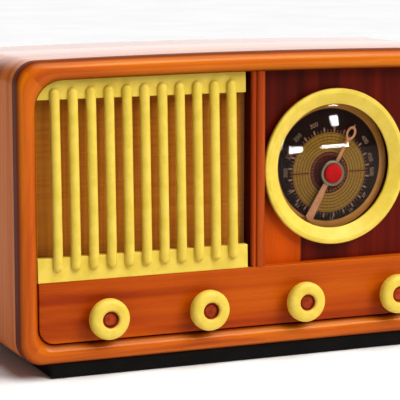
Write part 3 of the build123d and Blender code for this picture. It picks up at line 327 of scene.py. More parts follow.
steel = metal("steel", paint(170, 172, 176), paint(140, 142, 148))
nickel = metal("nickel", paint(150, 138, 120), paint(120, 108, 92), (0.25, 0.4))
brass = metal("brass", paint(206, 168, 92), paint(176, 134, 66))
zinc_sheet = metal("zinc_sheet", paint(160, 164, 166), paint(132, 136, 140), (0.4, 0.6), (120, 900, 900))
pressed_steel = metal("pressed_steel", paint(128, 124, 112), paint(104, 100, 92), (0.4, 0.55))
aluminium_sheet = metal("aluminium_sheet", paint(196, 198, 200), paint(172, 174, 178), (0.3, 0.45),
                        (900, 900, 120))
print("finishes so far:", len(bpy.data.materials))

# %% [markdown]
# ## The camera and the light
# The radio is lit as in a small studio: a broad ceiling light, a soft lamp high on the right, a much
# weaker one on the left, and a bright sweep behind that the polished top mirrors. The room in front
# stays dimmer than the sweep, so the glossy front keeps its dark tones. Three small window lamps
# light nothing but the dial's glass, which mirrors them as bright patches: light linking names the
# glass as their only receiver.

# %% Camera, lamps, floor
scene = bpy.context.scene
eye, aim = Vector((-0.761, -1.73175, 0.432)), Vector((-0.0577, -0.0872, 0.1623))
camera = bpy.data.objects.new("camera", bpy.data.cameras.new("camera"))
camera.location = eye
camera.rotation_mode = "QUATERNION"
camera.rotation_quaternion = (aim - eye).to_track_quat("-Z", "Y")
camera.data.lens = 171.5
scene.collection.objects.link(camera)
scene.camera = camera
scene.view_settings.view_transform, scene.view_settings.look = "Standard", "Medium High Contrast"


def lamp(name, place, target, width, height, watts, colour=(1.0, 1.0, 1.0)):
    """A soft rectangular lamp that looks at a target."""
    light = bpy.data.lights.new(name, "AREA")
    light.shape, light.size, light.size_y = "RECTANGLE", width, height
    light.energy, light.color = watts, colour
    thing = bpy.data.objects.new(name, light)
    thing.location = place
    thing.rotation_mode = "QUATERNION"
    thing.rotation_quaternion = (Vector(target) - Vector(place)).to_track_quat("-Z", "Y")
    scene.collection.objects.link(thing)
    return thing


lamp("key_lamp", (1.0, -2.0, 1.5), (0, 0, 0.15), 1.0, 1.0, 20, (1.0, 0.96, 0.9))
lamp("left_lamp", (-2.2, -0.4, 1.0), (0, 0, 0.15), 1.0, 1.2, 2)
WINDOWS = [((1.46, -2.67, 0.86), 0.2, 0.26, 16), ((0.41, -3.06, 0.24), 0.36, 0.15, 17),
           ((1.45, -2.77, 0.27), 0.8, 0.08, 17)]
mirrors = bpy.data.collections.new("mirrors")
for number, (place, width, height, watts) in enumerate(WINDOWS):
    window = lamp(f"window_{number}", place, (0.09, -0.09, 0.18), width, height, watts)
    window.visible_diffuse = False
    window.light_linking.receiver_collection = mirrors
sun = bpy.data.objects.new("ceiling_light", bpy.data.lights.new("ceiling_light", "SUN"))
sun.data.energy, sun.data.angle = 2.7, math.radians(60)
sun.location, sun.rotation_euler = (0, 0, 3), Vector((-0.3, 0.45, -0.85)).to_track_quat("-Z", "Y").to_euler()
scene.collection.objects.link(sun)

world = bpy.data.worlds.new("studio")
world.use_nodes = True
world.node_tree.nodes.clear()
sky = Wire(world.node_tree)
east, north, _ = sky.node("TexCoord", out="Generated").parts()
seen = sky.node("LightPath", out="Is Camera Ray")
glow = 0.08 + (north * 0.92 + east * 0.39).between(0.6, 0.95) * 0.95
glow = glow * (1 - seen) + seen
sky.node("OutputWorld", inputs={"Surface": sky.node("Background", inputs={
    "Color": (1.0, 1.0, 1.0, 1.0), "Strength": glow})})
scene.world = world

floor_mesh = bpy.data.meshes.new("floor")
floor_mesh.from_pydata([(-20, -20, 0), (20, -20, 0), (20, 20, 0), (-20, 20, 0)], [], [(0, 1, 2, 3)])
floor = bpy.data.objects.new("floor", floor_mesh)
pale_floor = mottled("pale_floor", paint(246, 246, 246), paint(250, 250, 250), 3.0, (0.7, 0.8), 0.01)
floor_mesh.materials.append(pale_floor)
scene.collection.objects.link(floor)
print("camera to aim:", round((aim - eye).length, 3), "m, lamps:", len(bpy.data.lights))

# %% [markdown]
# ## Shapes from grids
# Most outside pieces are one smooth surface: a profile carried along a path. Worked out with numpy,
# such a surface is a grid of points, and the mesh is only the grid's faces. The helpers here make
# that mesh, a turned piece, and an outline with rounded corners, and hand a piece to its CAD body.

# %% Helpers for shapes


def finish_mesh(name, mesh, sharp=38.0):
    """Merges doubles, points the faces outwards, shades smooth between sharp edges, and makes the object."""
    shape = bmesh.new()
    shape.from_mesh(mesh)
    bmesh.ops.remove_doubles(shape, verts=shape.verts, dist=2e-6)
    bmesh.ops.recalc_face_normals(shape, faces=shape.faces)
    shape.to_mesh(mesh)
    shape.free()
    mesh.polygons.foreach_set("use_smooth", [True] * len(mesh.polygons))
    mesh.set_sharp_from_angle(angle=math.radians(sharp))
    thing = bpy.data.objects.new(name, mesh)
    scene.collection.objects.link(thing)
    return thing


def surface(name, points, ring=False, tube=True, grain=None, lids=False, sharp=38.0):
    """A mesh on a grid of points in mm (x, depth, z). A face joins (i, j), (i, j+1), (i+1, j+1), (i+1, j).
    ring joins the last row to the first, tube the last column to the first; lids close the end rows."""
    rows, columns = points.shape[:2]
    i = np.arange(rows if ring else rows - 1)[:, None]
    j = np.arange(columns if tube else columns - 1)[None, :]
    corners = [(i, j), (i, j + 1), (i + 1, j + 1), (i + 1, j)]
    faces = np.stack(np.broadcast_arrays(*[(a % rows) * columns + b % columns for a, b in corners]), -1)
    faces = faces.reshape(-1, 4).tolist()
    if lids:
        faces += [list(range(columns)), list(range((rows - 1) * columns, rows * columns))]
    mesh = bpy.data.meshes.new(name)
    placed = (points + (0, front_y, 0)) * MM
    mesh.from_pydata(placed.reshape(-1, 3).tolist(), [], faces)
    if grain is not None:
        flat = np.stack([np.broadcast_arrays(grain[a, b, 0], grain[a, b, 1]) for a, b in corners])
        loops = flat.transpose(2, 3, 0, 1).reshape(-1, 2)
        if lids:
            loops = np.concatenate([loops, grain[0, :columns], grain[rows - 1, :columns]])
        layer = mesh.uv_layers.new(name=GRAIN_MAP)
        layer.data.foreach_set("uv", (loops * MM).astype(np.float32).ravel())
    return finish_mesh(name, mesh, sharp)


def turned(name, profile, centre, steps=128, closed=True, sharp=38.0):
    """A turned piece on an axis that runs back from the front: each (r, depth) of the profile becomes the
    circle (x + r cos a, depth, z + r sin a)."""
    profile = np.asarray(profile, float)
    angle = np.linspace(0, 2 * math.pi, steps, endpoint=False)
    radius, depth = profile[:, :1], profile[:, 1:]
    points = np.stack([centre[0] + radius * np.cos(angle), depth + 0 * angle,
                       centre[1] + radius * np.sin(angle)], -1)
    return surface(name, points, ring=closed, sharp=sharp)


def rounded(corners, radii, steps=8):
    """A closed outline whose corners are arcs, each of which touches both edges at a distance of
    r / tan(half the corner's angle) from the corner."""
    corners = np.asarray(corners, float)
    radii = np.asarray(radii, float)[:, None]
    before, after = np.roll(corners, 1, 0) - corners, np.roll(corners, -1, 0) - corners
    before /= np.linalg.norm(before, axis=1, keepdims=True)
    after /= np.linalg.norm(after, axis=1, keepdims=True)
    half = np.arccos(np.clip((before * after).sum(1, keepdims=True), -1, 1)) / 2
    middle = before + after
    middle /= np.maximum(np.linalg.norm(middle, axis=1, keepdims=True), 1e-9)
    centre = corners + middle * radii / np.sin(half)
    first, last = (corners + side * radii / np.tan(half) - centre for side in (before, after))
    turn = math.pi - 2 * half
    share = np.linspace(0, 1, steps)[:, None, None]
    arc = centre + (np.sin((1 - share) * turn) * first + np.sin(share * turn) * last) / np.sin(turn)
    return arc.transpose(1, 0, 2).reshape(-1, 2)


def softened(node, width=0.0):
    """A copy of a CAD node with its triangles merged, its flat faces made whole and, where a width in mm is
    given, its sharp edges taken off by that much."""
    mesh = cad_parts[node].data.copy()
    mesh.materials.clear()
    shape = bmesh.new()
    shape.from_mesh(mesh)
    bmesh.ops.remove_doubles(shape, verts=shape.verts, dist=2e-6)
    bmesh.ops.dissolve_limit(shape, angle_limit=math.radians(0.6), verts=shape.verts, edges=shape.edges)
    shape.to_mesh(mesh)
    shape.free()
    mesh.polygons.foreach_set("use_smooth", [True] * len(mesh.polygons))
    mesh.set_sharp_from_angle(angle=math.radians(30))
    thing = bpy.data.objects.new(node + "_soft", mesh)
    scene.collection.objects.link(thing)
    if width:
        bevel = thing.modifiers.new("edges", "BEVEL")
        bevel.width, bevel.segments, bevel.limit_method = width * MM, 2, "ANGLE"
        bevel.angle_limit, bevel.harden_normals = math.radians(40), True
    return thing


def dress(thing, body, slot, material, *nodes):
    """Gives a piece its material and its CAD body, and hides the CAD nodes it stands for. The slot is not
    used.
    """
    thing.data.materials.clear()
    thing.data.materials.append(material)
    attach(thing, body)
    if nodes:
        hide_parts(*nodes)
    return thing


SQUARE = [(0, 0), (10, 0), (10, 10), (0, 10)]
print("a square of side 10 with corners of 2 has", len(rounded(SQUARE, [2] * 4)), "points")

# %% [markdown]
# ## The cabinet
# The real cabinet is one long sheet of veneer, glued round four boards and the bent corners between
# them. Four boxes would show their joints, so here it is one ring: an outline with rounded corners
# and a slightly crowned top, carried through a small profile of board thickness and depth.

# %% The outline of the cabinet and its wrap
BOARDS = ("cabinet_top", "cabinet_bottom", "cabinet_side_left", "cabinet_side_right", "cabinet_corners")
low, high = reach(*BOARDS)
HALF, UNDERSIDE, CROWN_TOP, BACK = high[0], low[2], high[2], high[1]
side_low, side_high = reach("cabinet_side_left")
WALL = side_high[0] - side_low[0]
CORNER = side_low[2] - UNDERSIDE
CROWN = CROWN_TOP - side_high[2] - CORNER
MOULDING_DEPTH = low[1]
STEPS = {"bottom": 24, "side": 16, "top": 72, "corner": 12}


def outline(inset, r_low=None, r_top=None):
    """The cabinet's outline (x, z), shrunk by an inset, anticlockwise from low left: straight runs and
    quarter circles, then the upper half is lifted by crown * (1 - (x / half)^2). Every inset has the same
    number of points."""
    half, base, flat = HALF - inset, UNDERSIDE + inset, CROWN_TOP - CROWN - inset
    crown = CROWN * (half / HALF) ** 2
    r_low = CORNER - inset if r_low is None else r_low
    r_top = CORNER - inset if r_top is None else r_top

    def run(x0, z0, x1, z1, count):
        t = np.arange(count)[:, None] / count
        return np.array([[x0, z0]]) * (1 - t) + np.array([[x1, z1]]) * t

    def bend(x, z, r, first):
        a = np.radians(first + 90 * np.arange(STEPS["corner"]) / STEPS["corner"])
        return np.stack([x + r * np.cos(a), z + r * np.sin(a)], -1)

    path = np.concatenate([
        run(-half + r_low, base, half - r_low, base, STEPS["bottom"]),
        bend(half - r_low, base + r_low, r_low, -90),
        run(half, base + r_low, half, flat - r_top, STEPS["side"]),
        bend(half - r_top, flat - r_top, r_top, 0),
        run(half - r_top, flat, -half + r_top, flat, STEPS["top"]),
        bend(-half + r_top, flat - r_top, r_top, 90),
        run(-half, flat - r_top, -half, base + r_low, STEPS["side"]),
        bend(-half + r_low, base + r_low, r_low, 180),
    ])
    path[:, 1] += np.where(path[:, 1] > (base + flat) / 2, crown * (1 - (path[:, 0] / half) ** 2), 0)
    return path


def walked(path, closed=True):
    """Distance walked along a path of points, with the closing step at the end if it is closed."""
    steps = np.diff(np.concatenate([path, path[:1]]) if closed else path, axis=0)
    return np.concatenate([[0], np.cumsum(np.linalg.norm(steps, axis=1))])


section = rounded([(0, MOULDING_DEPTH), (0, BACK), (WALL, BACK), (WALL, MOULDING_DEPTH)],
                  (0.3, 1.6, 0.8, 0.3), 5)
rings = np.stack([outline(inset) for inset in section[:, 0]])
points = np.stack([rings[..., 0], np.repeat(section[:, 1:], rings.shape[1], 1), rings[..., 1]], -1)
around, across = walked(outline(0)), walked(section)
grain = np.stack(np.broadcast_arrays(around[None, :], across[:, None]), -1)
wrap = surface("cabinet_wrap", points, ring=True, grain=grain)
dress(wrap, "cabinet", "cabinet_veneer", cabinet_veneer, *BOARDS)
print("cabinet", HALF * 2, "x", BACK, "x", CROWN_TOP, "mm, crown", round(CROWN, 2))

# %% [markdown]
# ## The half-round moulding
# A heavy half-round frames the front. It is four lengths of moulding, mitred in the corners. Each is
# one profile, nearly a half circle, that is carried between the outer outline and the outline of the
# opening: a point of the profile is a share of the way from one to the other. That widens it at the
# corners, where the opening's corners are rounder than the cabinet's.

# %% Moulding
MOULDING_WIDTH = 18.5
OPENING_R_LOW, OPENING_R_TOP = 16.0, 26.0
NOSE_R = 8.6
nose = rounded([(0, MOULDING_DEPTH), (0, 0), (MOULDING_WIDTH, 0), (MOULDING_WIDTH, MOULDING_DEPTH)],
               (0.4, NOSE_R, NOSE_R, 0.4), 14)
outer, inner = outline(0), outline(MOULDING_WIDTH, OPENING_R_LOW, OPENING_R_TOP)
share = nose[:, 0] / MOULDING_WIDTH
count, half_bend = len(outer), STEPS["corner"] // 2
low_right = STEPS["bottom"] + half_bend
top_right = low_right + STEPS["side"] + STEPS["corner"]
top_left = top_right + STEPS["top"] + STEPS["corner"]
low_left = top_left + STEPS["side"] + STEPS["corner"]
LENGTHS = {"frame_bottom": (low_left - count, low_right), "frame_right": (low_right, top_right),
           "frame_top": (top_right, top_left), "frame_left": (top_left, low_left)}
for number, (name, (first, last)) in enumerate(LENGTHS.items()):
    index = np.arange(first, last + 1) % count
    path = outer[index][:, None] * (1 - share[:, None]) + inner[index][:, None] * share[:, None]
    points = np.stack([path[..., 0], np.broadcast_to(nose[:, 1], path.shape[:2]), path[..., 1]], -1)
    along = walked(outer[index], closed=False)[:, None] + 700 * number
    grain = np.stack(np.broadcast_arrays(along, walked(nose)[None, :]), -1)
    dress(surface(name + "_half_round", points, grain=grain, lids=True), "cabinet", "moulding_wood",
          moulding_wood, name)
print("moulding", MOULDING_WIDTH, "mm wide, outline points:", count)

# %% [markdown]
# ## Boards of the front
# The fascia, the dark panel round the dial and the board behind the grille are flat, and the fascia's
# top edge shows as a crisp ledge, so the CAD shapes are copied as they are. Only the plinth rails get
# their edges taken off, since a painted edge catches light.

# %% Fascia, dial panel, baffle, plinth
dress(softened("fascia_board"), "cabinet", "fascia_veneer", fascia_veneer, "fascia_board")
dress(softened("dial_panel"), "cabinet", "dark_veneer", dark_veneer, "dial_panel")
dress(softened("baffle_board"), "cabinet", "plain_ply", plywood, "baffle_board")
dress(softened("plinth_rails", 0.8), "cabinet", "black_paint", black_paint, "plinth_rails")
print("fascia top at", round(float(reach("fascia_board")[1][2]), 1), "mm")

# %% [markdown]
# ## The post of two reeds
# Between grille and dial stands a post with two half-round reeds, one narrow and one wide. Its plan
# is drawn once and pulled straight up, so only the plan needs care.

# %% Post
low, high = reach("grille_post")
REED, REED_LIFT = 5.2, 0.8
wide = high[0] - low[0] - REED
base = low[1] + wide / 2
angle = np.radians(np.linspace(180, 0, 17))
narrow_reed = np.stack([low[0] + REED / 2 * (1 + np.cos(angle)),
                        base - (REED / 2 + REED_LIFT) * np.sin(angle)], -1)
wide_reed = np.stack([high[0] - wide / 2 * (1 - np.cos(angle)), base - wide / 2 * np.sin(angle)], -1)
plan = np.concatenate([narrow_reed, wide_reed, [(high[0], high[1]), (low[0], high[1])]])
heights = np.linspace(low[2], high[2], 3)
points = np.stack([np.broadcast_to(plan[:, 0], (3, len(plan))), np.broadcast_to(plan[:, 1], (3, len(plan))),
                   np.repeat(heights[:, None], len(plan), 1)], -1)
dress(surface("grille_post_reeds", points, lids=True), "cabinet", "moulding_wood", post_wood, "grille_post")
print("post: reeds of", REED, "and", round(float(wide), 2), "mm")

# %% [markdown]
# ## The grille
# Eleven half-round bars stand on two rails that lean back a little, all of cream plastic. A bar is a
# slot shape whose outline shrinks as it rises: straight sides at first, then a quarter ellipse up to
# a ridge, so its two ends are domed by the same rule that rounds its sides.

# %% Bars and rails
low, high = reach("grille_bars")
BARS, BAR_WIDTH, BAR_THICKNESS, BAR_SIDE = 11, 9.5, 5.5, 1.2
FOOT_HEIGHT, HEAD_GAP = 10.0, 7.5
rail_low, rail_high = reach("grille_bottom_rail")
top_high = reach("grille_top_rail")[1]
ledge = rail_low[2]
lean = math.atan2(top_high[1] - rail_high[1], top_high[2] - rail_high[2])
foot_depth = rail_low[1]
bar_x = np.linspace(low[0] + BAR_WIDTH / 2, high[0] - BAR_WIDTH / 2, BARS)
opening_top = CROWN_TOP - MOULDING_WIDTH - CROWN * (bar_x / HALF) ** 2
head = (opening_top - HEAD_GAP - ledge) / math.cos(lean)
radius = BAR_WIDTH / 2
rise = np.radians(np.linspace(0, 90, 9))
shrink = np.concatenate([[0, radius], radius * np.cos(rise)])
stand = np.concatenate([[0, 0], BAR_SIDE + (BAR_THICKNESS - BAR_SIDE) * np.sin(rise)])
turn = np.radians(np.concatenate([np.linspace(0, 180, 13), np.linspace(180, 360, 13)]))
end = np.repeat([1.0, 0.0], 13)
bars = []
for x, top in zip(bar_x, head):
    across = x + shrink[:, None] * np.cos(turn)
    along = np.where(end, top - radius, FOOT_HEIGHT + radius) + shrink[:, None] * np.sin(turn)
    out = stand[:, None] + 0 * turn
    depth = foot_depth + along * math.sin(lean) - out * math.cos(lean)
    bars.append(np.stack([across, depth, ledge + along * math.cos(lean) + out * math.sin(lean)], -1))
for number, points in enumerate(bars):
    bars[number] = surface(f"bar_{number}", points)
with bpy.context.temp_override(active_object=bars[0], selected_editable_objects=bars):
    bpy.ops.object.join()
bars[0].name = "grille_bars_round"
dress(bars[0], "cabinet", "cream_plastic", cream_plastic, "grille_bars")
for rail in ("grille_top_rail", "grille_bottom_rail"):
    dress(softened(rail, 0.7), "cabinet", "cream_plastic", cream_plastic, rail)
print("grille leans", round(math.degrees(lean), 2), "degrees; bars", round(float(bar_x[1] - bar_x[0]), 2),
      "mm apart")

# %% [markdown]
# ## The speaker cloth
# Behind the bars the cloth is stretched over the board. It is a thin sheet with a weave in its
# material: two sets of rounded threads that pass over and under each other, each a sine wave, with
# colours that wander a little from thread to thread.

# %% Cloth
low, high = reach("grille_cloth")
columns, rows = 41, 25
CLOTH_CORNER, CLOTH_GAP, CLOTH_THICKNESS = 9.6, 0.4, 0.6
x = np.linspace(low[0], high[0], columns)
edge = CROWN_TOP - WALL - CLOTH_GAP - CROWN * (x / HALF) ** 2
from_left = np.clip(CLOTH_CORNER - (x - low[0]), 0, CLOTH_CORNER)
edge -= CLOTH_CORNER - np.sqrt(CLOTH_CORNER ** 2 - from_left ** 2)
share = np.linspace(0, 1, rows)[:, None]
z = low[2] * (1 - share) + edge[None, :] * share
middle_depth = (low[1] + high[1]) / 2
points = np.stack([np.broadcast_to(x, z.shape), np.full(z.shape, middle_depth), z], -1)
cloth = surface("speaker_cloth", points, tube=False)
skin = cloth.modifiers.new("thickness", "SOLIDIFY")
skin.thickness, skin.offset = CLOTH_THICKNESS * MM, 0.0

material, wire = start("speaker_cloth")
x_wire, _, z_wire = wire.parts()
THREAD = 1.15 * MM
warp = wire.maths("SINE", x_wire * (math.pi / THREAD))
weft = wire.maths("SINE", z_wire * (math.pi / THREAD))
over = (warp * weft).between(-0.25, 0.25)
ridge = wire.maths("ABSOLUTE", warp) * over + wire.maths("ABSOLUTE", weft) * (1 - over)
warp_tone = wire.scaled(1 / THREAD / 2, 1, 6).noise(1.0, 1.0)
weft_tone = wire.scaled(6, 1, 1 / THREAD / 2).noise(1.0, 1.0)
tone = warp_tone * over + weft_tone * (1 - over)
colour = tone.ramp((0.3, paint(184, 112, 18)), (0.5, paint(204, 130, 26)), (0.7, paint(216, 146, 36)))
# Painted shade: the thread colour darkens where each thread rounds down into the gaps of the weave.
colour = wire.mix(ridge.between(0.0, 0.45), paint(132, 70, 8), colour)
speaker_cloth = coat(material, wire, ridge, 0.25, Base_Color=colour, Roughness=0.85, Sheen_Weight=0.25,
                     Sheen_Roughness=0.4)
dress(cloth, "cabinet", "speaker_cloth", speaker_cloth, "grille_cloth")
CLOTH_SIZE = ((high[0] - low[0]) * MM, (high[2] - low[2]) * MM)
area = float(np.trapz(edge - low[2], x)) * MM * MM
print("cloth", [round(s, 4) for s in CLOTH_SIZE], "m, area", round(area, 5))

# %% [markdown]
# ## The ring, the glass and the dial
# These are all turned, so each is one profile spun round the axis. The ring has a rounded outer
# shoulder, a narrow flat crest and a funnel down to the glass, and behind the shoulder its outer wall
# draws in, so a shadow parts it from the panel. The glass is a shallow dome. Real
# glass shaders spend their light on bending it, and then the dial behind goes dark, so this one
# passes light straight through and only mirrors it, more at a slant than head on.

# %% Bezel and glass
low, high = reach("bezel_ring")
dial = ((low[0] + high[0]) / 2, (low[2] + high[2]) / 2)
ring_r, ring_front, ring_back = (high[0] - low[0]) / 2, low[1], high[1]
glass_low, glass_high = reach("dial_glass")
glass_r = (glass_high[0] - glass_low[0]) / 2
RING_BAND, RING_CREST, RING_WALL, RING_UNDERCUT = 15.5, 4.5, 4, 4
SEAT_DEPTH, SEAT_GAP, WINDOW_LIP = 2.3, 0.3, 2.5
window_r, seat = ring_r - RING_BAND, ring_back - SEAT_DEPTH
ring_corners = [(glass_r + SEAT_GAP, ring_back), (ring_r - RING_UNDERCUT, ring_back),
                (ring_r, ring_front + RING_WALL), (ring_r, ring_front), (ring_r - RING_CREST, ring_front),
                (window_r, seat - WINDOW_LIP), (window_r, seat), (glass_r + SEAT_GAP, seat)]
ring_profile = rounded(ring_corners, (0.2, 0.3, 0.8, 1.6, 0.7, 0.6, 0.2, 0.2), 8)
ring = turned("bezel_turned", ring_profile, dial, 192)
dress(ring, "cabinet", "cream_plastic", cream_plastic, "bezel_ring")

material, wire = start("clear_glass")
gloss = wire.node("BsdfGlossy", inputs={"Color": (1.0, 1.0, 1.0, 1.0), "Roughness": 0.03})
clear = wire.node("BsdfTransparent", inputs={"Color": (0.97, 0.97, 0.95, 1.0)})
mirror = wire.node("Fresnel", inputs={"IOR": 1.16})
wire.node("OutputMaterial", inputs={
    "Surface": wire.node("MixShader", inputs={0: mirror, 1: clear, 2: gloss})})
clear_glass = material
DOME_RISE, GLASS = 7.5, 2.0
dome_r, rim = window_r - 0.5, glass_low[1] + DOME_RISE


def dome(at, rim_depth):
    """Depth of a dome: a ball's surface that meets the rim. Ball radius = (reach^2 + rise^2) / (2 rise)."""
    ball = (dome_r ** 2 + DOME_RISE ** 2) / (2 * DOME_RISE)
    return rim_depth - DOME_RISE + ball - np.sqrt(ball ** 2 - at ** 2)


at = np.linspace(0, dome_r, 24)
glass_profile = np.concatenate([
    np.stack([at, dome(at, rim)], -1), [(glass_r, rim), (glass_r, rim + GLASS)],
    np.stack([at, dome(at, rim + GLASS)], -1)[::-1]])
glass = turned("glass_dome", glass_profile, dial, 160, closed=False, sharp=60)
dress(glass, "cabinet", "clear_glass", clear_glass, "dial_glass")
mirrors.objects.link(glass)
print("ring", round(float(2 * ring_r), 1), "mm across, window", round(float(2 * window_r), 1), "mm")

# %% [markdown]
# ## The printed dial
# The dial is a printed disc, and print is a matter of distance and direction from the middle: rings
# of colour, fine arcs and ticks all come from a radius and an angle. The numbers are real shapes,
# thin as ink, because letters can't be had from sums. They are plain wavelengths, nothing else.

# %% Dial print
low, high = reach("pointer_hub")
pivot = ((low[0] + high[0]) / 2, (low[2] + high[2]) / 2)
plate_front = reach("dial_plate")[0][1]
material, wire = start("dial_print")
x_wire, _, z_wire = wire.parts()
dx, dz = x_wire * 1000 - pivot[0], z_wire * 1000 - pivot[1]
from_pivot = wire.maths("SQRT", dx * dx + dz * dz)
dy = z_wire * 1000 - dial[1]
from_middle = wire.maths("SQRT", dx * dx + dy * dy)
direction = wire.maths("ARCTAN2", dz, dx) / (2 * math.pi) + 0.5
cloud = wire.noise(70.0, 3.0, 0.6)


def stripe(value, low, high, soft=0.25):
    """1 between low and high, 0 outside, with soft edges."""
    return value.between(low - soft, low + soft) * (1 - value.between(high - soft, high + soft))


def ticks(number, share):
    """Radial marks: 1 in a share of each of a number of equal sectors."""
    phase = wire.maths("FRACT", direction * number)
    return stripe(phase, 0.5 - share / 2, 0.5 + share / 2, 0.04)


ochre = wire.mix(cloud, paint(136, 104, 42), paint(158, 124, 58))
arcs = wire.maths("FRACT", from_pivot / 3.1)
ochre = wire.mix(stripe(arcs, 0.36, 0.64, 0.1) * 0.7, ochre, paint(76, 48, 22))
ochre = wire.mix(ticks(48, 0.24) * stripe(from_pivot, 22, 38) * 0.35, ochre, paint(84, 54, 30))
night = wire.mix(cloud, paint(20, 8, 5), paint(44, 20, 14))
night = wire.mix(ticks(72, 0.3) * stripe(from_pivot, 40.6, 42.8) * 0.8, night, paint(130, 92, 84))
night = wire.mix(ticks(24, 0.16) * stripe(from_pivot, 40.6, 45.0) * 0.9, night, paint(150, 110, 98))
core = wire.mix(cloud, paint(58, 16, 12), paint(86, 26, 18))
core = wire.mix(ticks(36, 0.3) * stripe(from_pivot, 17.5, 19.6), core, paint(150, 110, 70))
rim_colour = wire.mix(cloud, paint(186, 128, 62), paint(210, 152, 84))
colour = wire.mix(from_pivot.between(20.6, 21.1), core, ochre)
colour = wire.mix(from_pivot.between(39.7, 40.1), colour, night)
red_line = stripe(dz, -0.6, 0.6, 0.15) * stripe(from_pivot, 22, 42)
colour = wire.mix(red_line, colour, paint(96, 14, 10))
colour = wire.mix(from_middle.between(55.4, 55.8), colour, rim_colour)
colour = wire.mix(stripe(from_middle, 55.2, 56.2, 0.2), colour, paint(50, 40, 22))
dial_print = coat(material, wire, wire.noise(900.0), 0.01, Base_Color=colour, Roughness=0.45 + cloud * 0.1,
                  Specular_IOR_Level=0.12,
                  Metallic=from_pivot.between(20.6, 21.1) * (1 - from_pivot.between(39.7, 40.1)) * 0.35)
dress(softened("dial_plate"), "cabinet", "dial_print", dial_print, "dial_plate")
INK_HEIGHT, INK_LIFT = 0.05, 0.06


def figures(name, rows):
    """Numbers as one thin mesh. A row is (text, size, distance from the pivot, degrees clockwise from the
    top), and the text is turned by that angle and moved out along it."""
    meshes = []
    for text, size, distance, degrees in rows:
        curve = bpy.data.curves.new(text, "FONT")
        curve.body, curve.size, curve.extrude = text, size, INK_HEIGHT
        curve.align_x, curve.align_y = "CENTER", "CENTER"
        thing = bpy.data.objects.new(text, curve)
        scene.collection.objects.link(thing)
        bpy.context.view_layer.update()
        mesh = bpy.data.meshes.new_from_object(thing.evaluated_get(bpy.context.evaluated_depsgraph_get()))
        flat = np.empty(len(mesh.vertices) * 3)
        mesh.vertices.foreach_get("co", flat)
        flat = flat.reshape(-1, 3)
        a = math.radians(degrees)
        x = flat[:, 0] * math.cos(a) + flat[:, 1] * math.sin(a) + distance * math.sin(a)
        z = -flat[:, 0] * math.sin(a) + flat[:, 1] * math.cos(a) + distance * math.cos(a)
        y = plate_front - INK_LIFT - flat[:, 2] + front_y
        placed = np.stack([pivot[0] + x, y, pivot[1] + z], -1) * MM
        mesh.vertices.foreach_set("co", placed.ravel())
        bpy.data.objects.remove(thing)
        meshes.append(bpy.data.objects.new(text, mesh))
        scene.collection.objects.link(meshes[-1])
    with bpy.context.temp_override(active_object=meshes[0], selected_editable_objects=meshes):
        bpy.ops.object.join()
    mesh = meshes[0].data
    bpy.data.objects.remove(meshes[0])
    mesh.name = name
    return finish_mesh(name, mesh)


ink = mottled("dial_ink", paint(150, 124, 104), paint(128, 100, 88), 200.0, (0.5, 0.6))
MARKS = [("200", -88), ("225", -66), ("250", -44), ("300", -20), ("350", 6), ("400", 52), ("450", 74),
         ("500", 92)]
LOWER = [("16", -112), ("19", -132), ("25", -154), ("31", 176), ("41", 148), ("49", 122)]
rows = [(t, 6.4, 50.0 if abs(d) < 60 else 47.5, d) for t, d in MARKS] + [(t, 5.6, 46.0, d) for t, d in LOWER]
dress(figures("dial_figures", rows), "cabinet", "dial_print", ink)
print("numbers on the dial:", len(rows))

# %% [markdown]
# ## The pointer
# The hand turns with the drum behind the dial, so every part of it rides on that body. A silver ring
# and a red cap hide its middle.

# %% Pointer
hand_enamel = mottled("hand_enamel", paint(182, 122, 86), paint(194, 138, 100), 150.0, (0.3, 0.45))
dress(softened("pointer_needle", 0.25), "dial_set", "gilt_metal", hand_enamel, "pointer_needle")
hub_low, hub_high = reach("pointer_hub")
hub_r = (hub_high[0] - hub_low[0]) / 2
HUB_DISH, HUB_LIP, HUB_RIM = 0.6, 3.2, 2.6
hub_profile = rounded([(0, hub_low[1] + HUB_DISH), (hub_r - HUB_LIP, hub_low[1] + HUB_DISH),
                       (hub_r - HUB_RIM, hub_low[1]), (hub_r, hub_low[1]), (hub_r, hub_high[1]),
                       (0, hub_high[1])], (0, 0.2, 0.2, 0.9, 0.2, 0), 6)
dress(turned("hub_ring", hub_profile, pivot, 96, closed=False), "dial_set", "nickel", nickel, "pointer_hub")
cap_low, cap_high = reach("pointer_cap")
cap_r = (cap_high[0] - cap_low[0]) / 2
lift = np.radians(np.linspace(90, 0, 14))
CAP_SKIRT = 0.8
cap_rim = cap_high[1] - CAP_SKIRT
cap_depth = cap_rim - (cap_rim - cap_low[1]) * np.sin(lift)
cap_profile = np.concatenate([np.stack([cap_r * np.cos(lift), cap_depth], -1),
                              [(cap_r, cap_high[1]), (0, cap_high[1])]])
dress(turned("cap_dome", cap_profile, pivot, 96, closed=False), "dial_set", "red_plastic", red_plastic,
      "pointer_cap")
print("hub", round(float(2 * hub_r), 1), "mm across, cap", round(float(2 * cap_r), 1), "mm")

# %% [markdown]
# ## The knobs
# Four knobs, each a cream ring with a full round nose and a brown disc sunk in its middle. The ring
# stands off the fascia on a narrower neck, so it throws a dark shadow behind itself. Ring and neck
# are one turned profile, and the nose is a superellipse, flatter than a circle.

